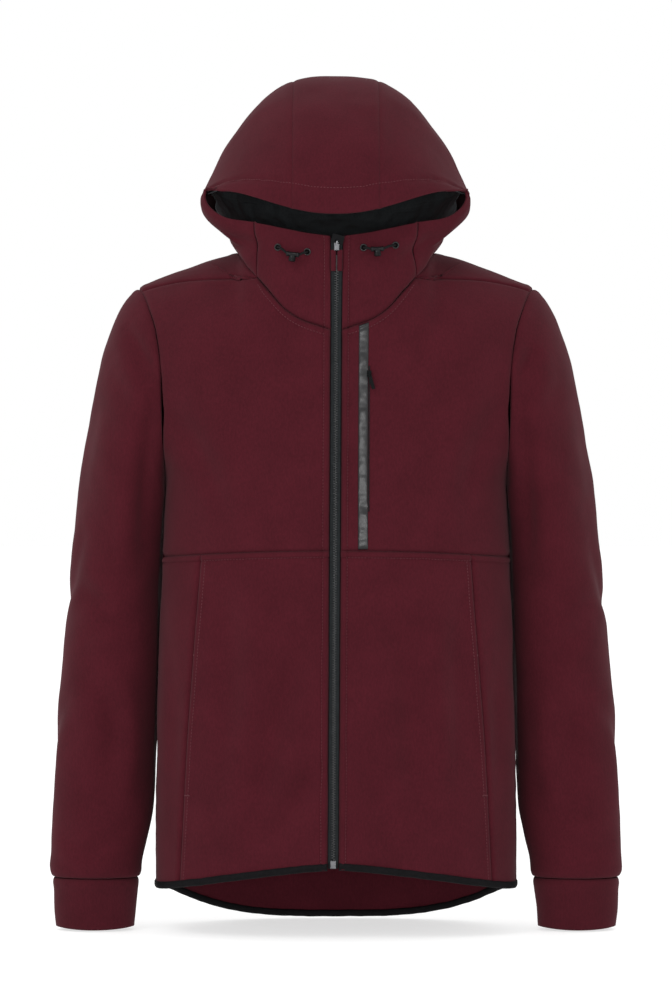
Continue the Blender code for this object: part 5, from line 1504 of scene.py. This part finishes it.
def chest_lines(first, last, across_count, low=None, high=None):
    """A grid on the left upper front between two of its lines, and the directions out of it. It runs
    from just above the chest seam to just below the neck's, unless its heights are given."""
    at = np.linspace(first, last, across_count)
    rows = np.linspace(0, 1, 81)
    grid = body_grid(1, True, at, [], np.linspace(0, 1, 25), rows[1:])
    ends = [(line[0, 2] + 0.0015, line[-1, 2] - 0.0015) if low is None else (low, high) for line in grid]
    count = min(int((top - foot) / TAPE_STEP) for foot, top in ends)
    lines = []
    for line, (foot, top) in zip(grid, ends):
        places = np.linspace(foot, top, count)
        lines.append(np.stack([np.interp(places, line[:, 2], line[:, i]) for i in range(3)], axis=1))
    lines = np.array(lines)
    along = np.gradient(lines, axis=1)
    wide = np.gradient(lines, axis=0)
    out = np.cross(wide, along)
    out /= np.linalg.norm(out, axis=2, keepdims=True)
    return lines, out * np.where(out[..., 1:2] > 0, -1, 1)


def pressed(lines, out):
    """The lines moved on to the finished left front."""
    tree = surface("front_upper_L")
    found = lines.copy()
    for place in np.ndindex(lines.shape[:2]):
        start = Vector(lines[place] + out[place] * 0.02)
        hit = tree.ray_cast(start, Vector(-out[place]))[0]
        found[place] = hit if hit is not None else lines[place]
    return found


def build_chest_tape():
    """The glossy tape, wrinkled across by the knit that it is bonded to, and the pocket's zip."""
    lines, out = chest_lines(1, 2, 13)
    flat = lines.reshape(-1, 3)
    slow = rough(flat * (0.45, 1, 1), 0.011, 21).reshape(lines.shape[:2])
    quick = rough(flat * (0.6, 1, 1.3), 0.0055, 22).reshape(lines.shape[:2])
    edge = np.sin(np.linspace(0, math.pi, len(lines)))[:, None] ** 0.4
    height = TAPE_LIFT + edge * (TAPE_WAVE * slow + TAPE_CRINKLE * quick) + 0.0003 * edge
    lines = pressed(lines, out)
    sheet = Sheet([lines + out * height[..., None]], BEHIND)
    made = shell("chest_tape_gloss", sheet, GLOSS, 0.0005)
    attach(made, BODY)
    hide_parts("chest_tape")
    strip, out = chest_lines(2.22, 3.0, 5, POCKET_FOOT_Z, POCKET_HEAD_Z)
    dip = np.array(POCKET_DIP)[:, None, None]
    sheet = Sheet([pressed(strip, out) + out * dip], BEHIND)
    made = shell("pocket_zip_tape", sheet, TAPE, 0.0004)
    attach(made, BODY)
    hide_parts("chest_zip")


# ---------------------------------------------------------------- cords, eyelets, locks and sliders


def frame_on(place, out, up):
    """Axes at a place: X across, Y into the cloth, and Z up it."""
    y = -Vector(out).normalized()
    x = y.cross(Vector(up)).normalized()
    turned = Matrix((x, y, x.cross(y))).transposed().to_4x4()
    return Matrix.Translation(Vector(place)) @ turned


def turned_piece(name, profile, axes, look, sides=32, closed=False):
    """A turned piece about the Z of its axes, from radii and heights."""
    corners, faces = [], []
    count = len(profile)
    for number in range(sides):
        angle = 2 * math.pi * number / sides
        for radius, height in profile:
            corners.append(axes @ Vector((radius * math.cos(angle), radius * math.sin(angle), height)))
    for number in range(sides):
        a, b = number * count, (number + 1) % sides * count
        steps = count if closed else count - 1
        for i in range(steps):
            j = (i + 1) % count
            faces.append((a + i, b + i, b + j, a + j))
    if not closed:
        faces.append([n * count for n in reversed(range(sides))])
        faces.append([n * count + count - 1 for n in range(sides)])
    return add_mesh(name, corners, faces, look)


def circle(radius, tube, count=12):
    angles = np.linspace(0, 2 * math.pi, count, endpoint=False)
    return [(radius + tube * math.cos(a), tube * math.sin(a)) for a in angles]


def braided(name, line, radius, look):
    """A round braid along a line: a tube whose face is rippled by the crossing strands."""
    steps = max(60, int(run_along(line)[-1] / 0.00035))
    path = trace(line, np.linspace(0, 1, steps))
    ahead = np.gradient(path, axis=0)
    ahead /= np.linalg.norm(ahead, axis=1, keepdims=True)
    side = np.cross(ahead, np.array([0.0, 1.0, 0.05]))
    side /= np.linalg.norm(side, axis=1, keepdims=True)
    other = np.cross(ahead, side)
    run = run_along(path)
    grid = []
    turn = 2 * math.pi * run / BRAID_PITCH
    for number in range(BRAID_SIDES):
        angle = 2 * math.pi * number / BRAID_SIDES
        ripple = np.abs(np.sin(4 * angle + turn) * np.sin(4 * angle - turn))
        size = radius * (0.90 + 0.12 * ripple)
        across_it = side * (size * math.cos(angle))[:, None]
        grid.append(path + across_it + other * (size * math.sin(angle))[:, None])
    faces = []
    for i in range(BRAID_SIDES):
        a, b = i * steps, (i + 1) % BRAID_SIDES * steps
        for k in range(steps - 1):
            faces.append((a + k, a + k + 1, b + k + 1, b + k))
    faces.append([i * steps for i in range(BRAID_SIDES)])
    faces.append([i * steps + steps - 1 for i in reversed(range(BRAID_SIDES))])
    return add_mesh(name, np.array(grid).reshape(-1, 3), faces, look), path


def build_eyelet(label, tree):
    """A turned ring on the cloth nearest to the model's eyelet, and a near-black disc in it, painted shade
    in place of the hole's shadow.
    """
    cad_low, cad_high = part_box(f"eyelet_{label}")
    place, out, _, _ = tree.find_nearest((cad_low + cad_high) / 2)
    axes = frame_on(place, out, (0, 0, 1)) @ Matrix.Rotation(math.pi / 2, 4, "X")
    ring = turned_piece(f"eyelet_ring_{label}", circle(EYELET_RADIUS, EYELET_TUBE),
                        axes @ Matrix.Translation((0, 0, EYELET_TUBE * 0.4)), EYELET, 40, True)
    # A dark disc across the ring, painted shade in place of the shadow inside the eyelet's hole
    disc = [(0.0001, -0.0004), (EYELET_RADIUS, -0.0004), (EYELET_RADIUS, 0.00025), (0.0001, 0.00025)]
    hole = turned_piece(f"eyelet_hole_{label}", disc, axes, HOLE, 32)
    for piece in (ring, hole):
        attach(piece, BODY)
    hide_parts(f"eyelet_{label}")


def build_cords():
    for side, row in zip(SIDES, CORD_ROWS):
        tree = surface(f"hood_chin_{side}")
        for number in range(2):
            build_eyelet(f"{side}_{number}", tree)
        route = trace(row["route"], np.linspace(0, 1, CORD_STEPS))
        cord, path = braided(f"drawcord_{side}_braid", route, CORD_RADIUS, CORD)
        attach(cord, BODY)
        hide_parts(f"drawcord_{side}")
        lock = build_lock(side, row)


def build_lock(side, row):
    """A cord lock: a lipped barrel round the cord, and its ribbed button below."""
    place, along = Vector(row["lock"]), Vector(row["lock_along"]).normalized()
    down = Vector((0, 0, -1))
    down = (down - along * down.dot(along)).normalized()
    axes = Matrix.Translation(place) @ along.to_track_quat("Z", "Y").to_matrix().to_4x4()
    half = LOCK_LENGTH / 2
    big, small = LOCK_RADIUS, CORD_RADIUS * 1.05
    lip = [(big * 0.90, half * 0.68), (big * 1.02, half * 0.76), (big * 1.02, half * 0.92),
           (big * 0.90, half), (small, half)]
    profile = [(radius, -height) for radius, height in reversed(lip)] + [(big * 0.86, 0.0)] + lip
    barrel = turned_piece(f"cord_lock_barrel_{side}", profile, axes, PLASTIC, 32, True)
    stem_axes = Matrix.Translation(place) @ down.to_track_quat("Z", "Y").to_matrix().to_4x4()
    ribs = []
    for number in range(4):
        height = LOCK_DROP * (0.42 + 0.13 * number)
        ribs += [(big * 1.28, height), (big * 1.36, height + 0.0003), (big * 1.36, height + 0.0007),
                 (big * 1.26, height + 0.0009)]
    stem = [(big * 1.25, 0.0004)] + ribs + [(big * 1.20, LOCK_DROP * 0.94), (big * 0.80, LOCK_DROP)]
    button = turned_piece(f"cord_lock_button_{side}", stem, stem_axes, PLASTIC, 28)
    for piece in (barrel, button):
        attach(piece, BODY)
    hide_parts(f"cord_lock_{side}")
    return [barrel, button]


def finish_metal():
    """The zip's own hard pieces keep the model's shape, with their finish."""
    for name, look in (("zip_slider", STEEL), ("zip_box", STEEL), ("zip_pull", PULL),
                       ("chest_slider", PULL), ("chest_pull", PULL)):
        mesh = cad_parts[name].data
        mesh.materials.clear()
        mesh.materials.append(look)


# ---------------------------------------------------------------- floor, light and camera


def build_stage():
    white = Finish("pale_floor", 0.8, Base_Color=(0.45, 0.45, 0.45, 1), Emission_Color=(1, 1, 1, 1),
                   Emission_Strength=FLOOR_GLOW)
    corners = [(x, y, FLOOR_Z) for x, y in ((-40, -40), (40, -40), (40, 40), (-40, 40))]
    floor = add_mesh("pale_floor", corners, [(0, 1, 2, 3)], white.made)


def area_light(name, place, target, size, power):
    data = bpy.data.lights.new(name, "AREA")
    data.shape = "RECTANGLE"
    data.size, data.size_y = size
    data.energy = power
    made = bpy.data.objects.new(name, data)
    made.location = place
    made.rotation_euler = (Vector(target) - Vector(place)).to_track_quat("-Z", "Y").to_euler()
    bpy.context.scene.collection.objects.link(made)


def build_light():
    world = bpy.data.worlds.new("studio")
    bpy.context.scene.world = world
    world.use_nodes = True
    world.node_tree.nodes["Background"].inputs["Color"].default_value = (1, 1, 1, 1)
    world.node_tree.nodes["Background"].inputs["Strength"].default_value = WORLD_LIGHT
    area_light("key", (-1.5, -2.2, 2.3), (0, 0, -0.25), (1.4, 1.2), KEY_LIGHT)
    area_light("fill", (2.4, -2.8, 1.3), (0, 0, -0.30), (1.4, 1.6), FILL_LIGHT)
    area_light("front", (0, -4.4, -0.30), (0, 0, -0.20), (0.7, 0.3), FRONT_LIGHT)
    bpy.context.scene.view_settings.view_transform = "Standard"


def build_camera():
    data = bpy.data.cameras.new("camera")
    data.sensor_width = 36
    data.lens = LENS
    data.clip_end = 50
    made = bpy.data.objects.new("camera", data)
    made.location = CAMERA_PLACE
    made.rotation_euler = (math.pi / 2, 0, 0)
    bpy.context.scene.collection.objects.link(made)
    bpy.context.scene.camera = made


build_camera()
build_light()
build_stage()
FRONTS = build_fronts()
BACK = build_back()
build_sleeves()
HOOD, BRIMS = build_hood()
build_lining()
build_neck_allowance()
build_binding()
build_stitches()
build_zip()
build_chest_tape()
build_cords()
finish_metal()
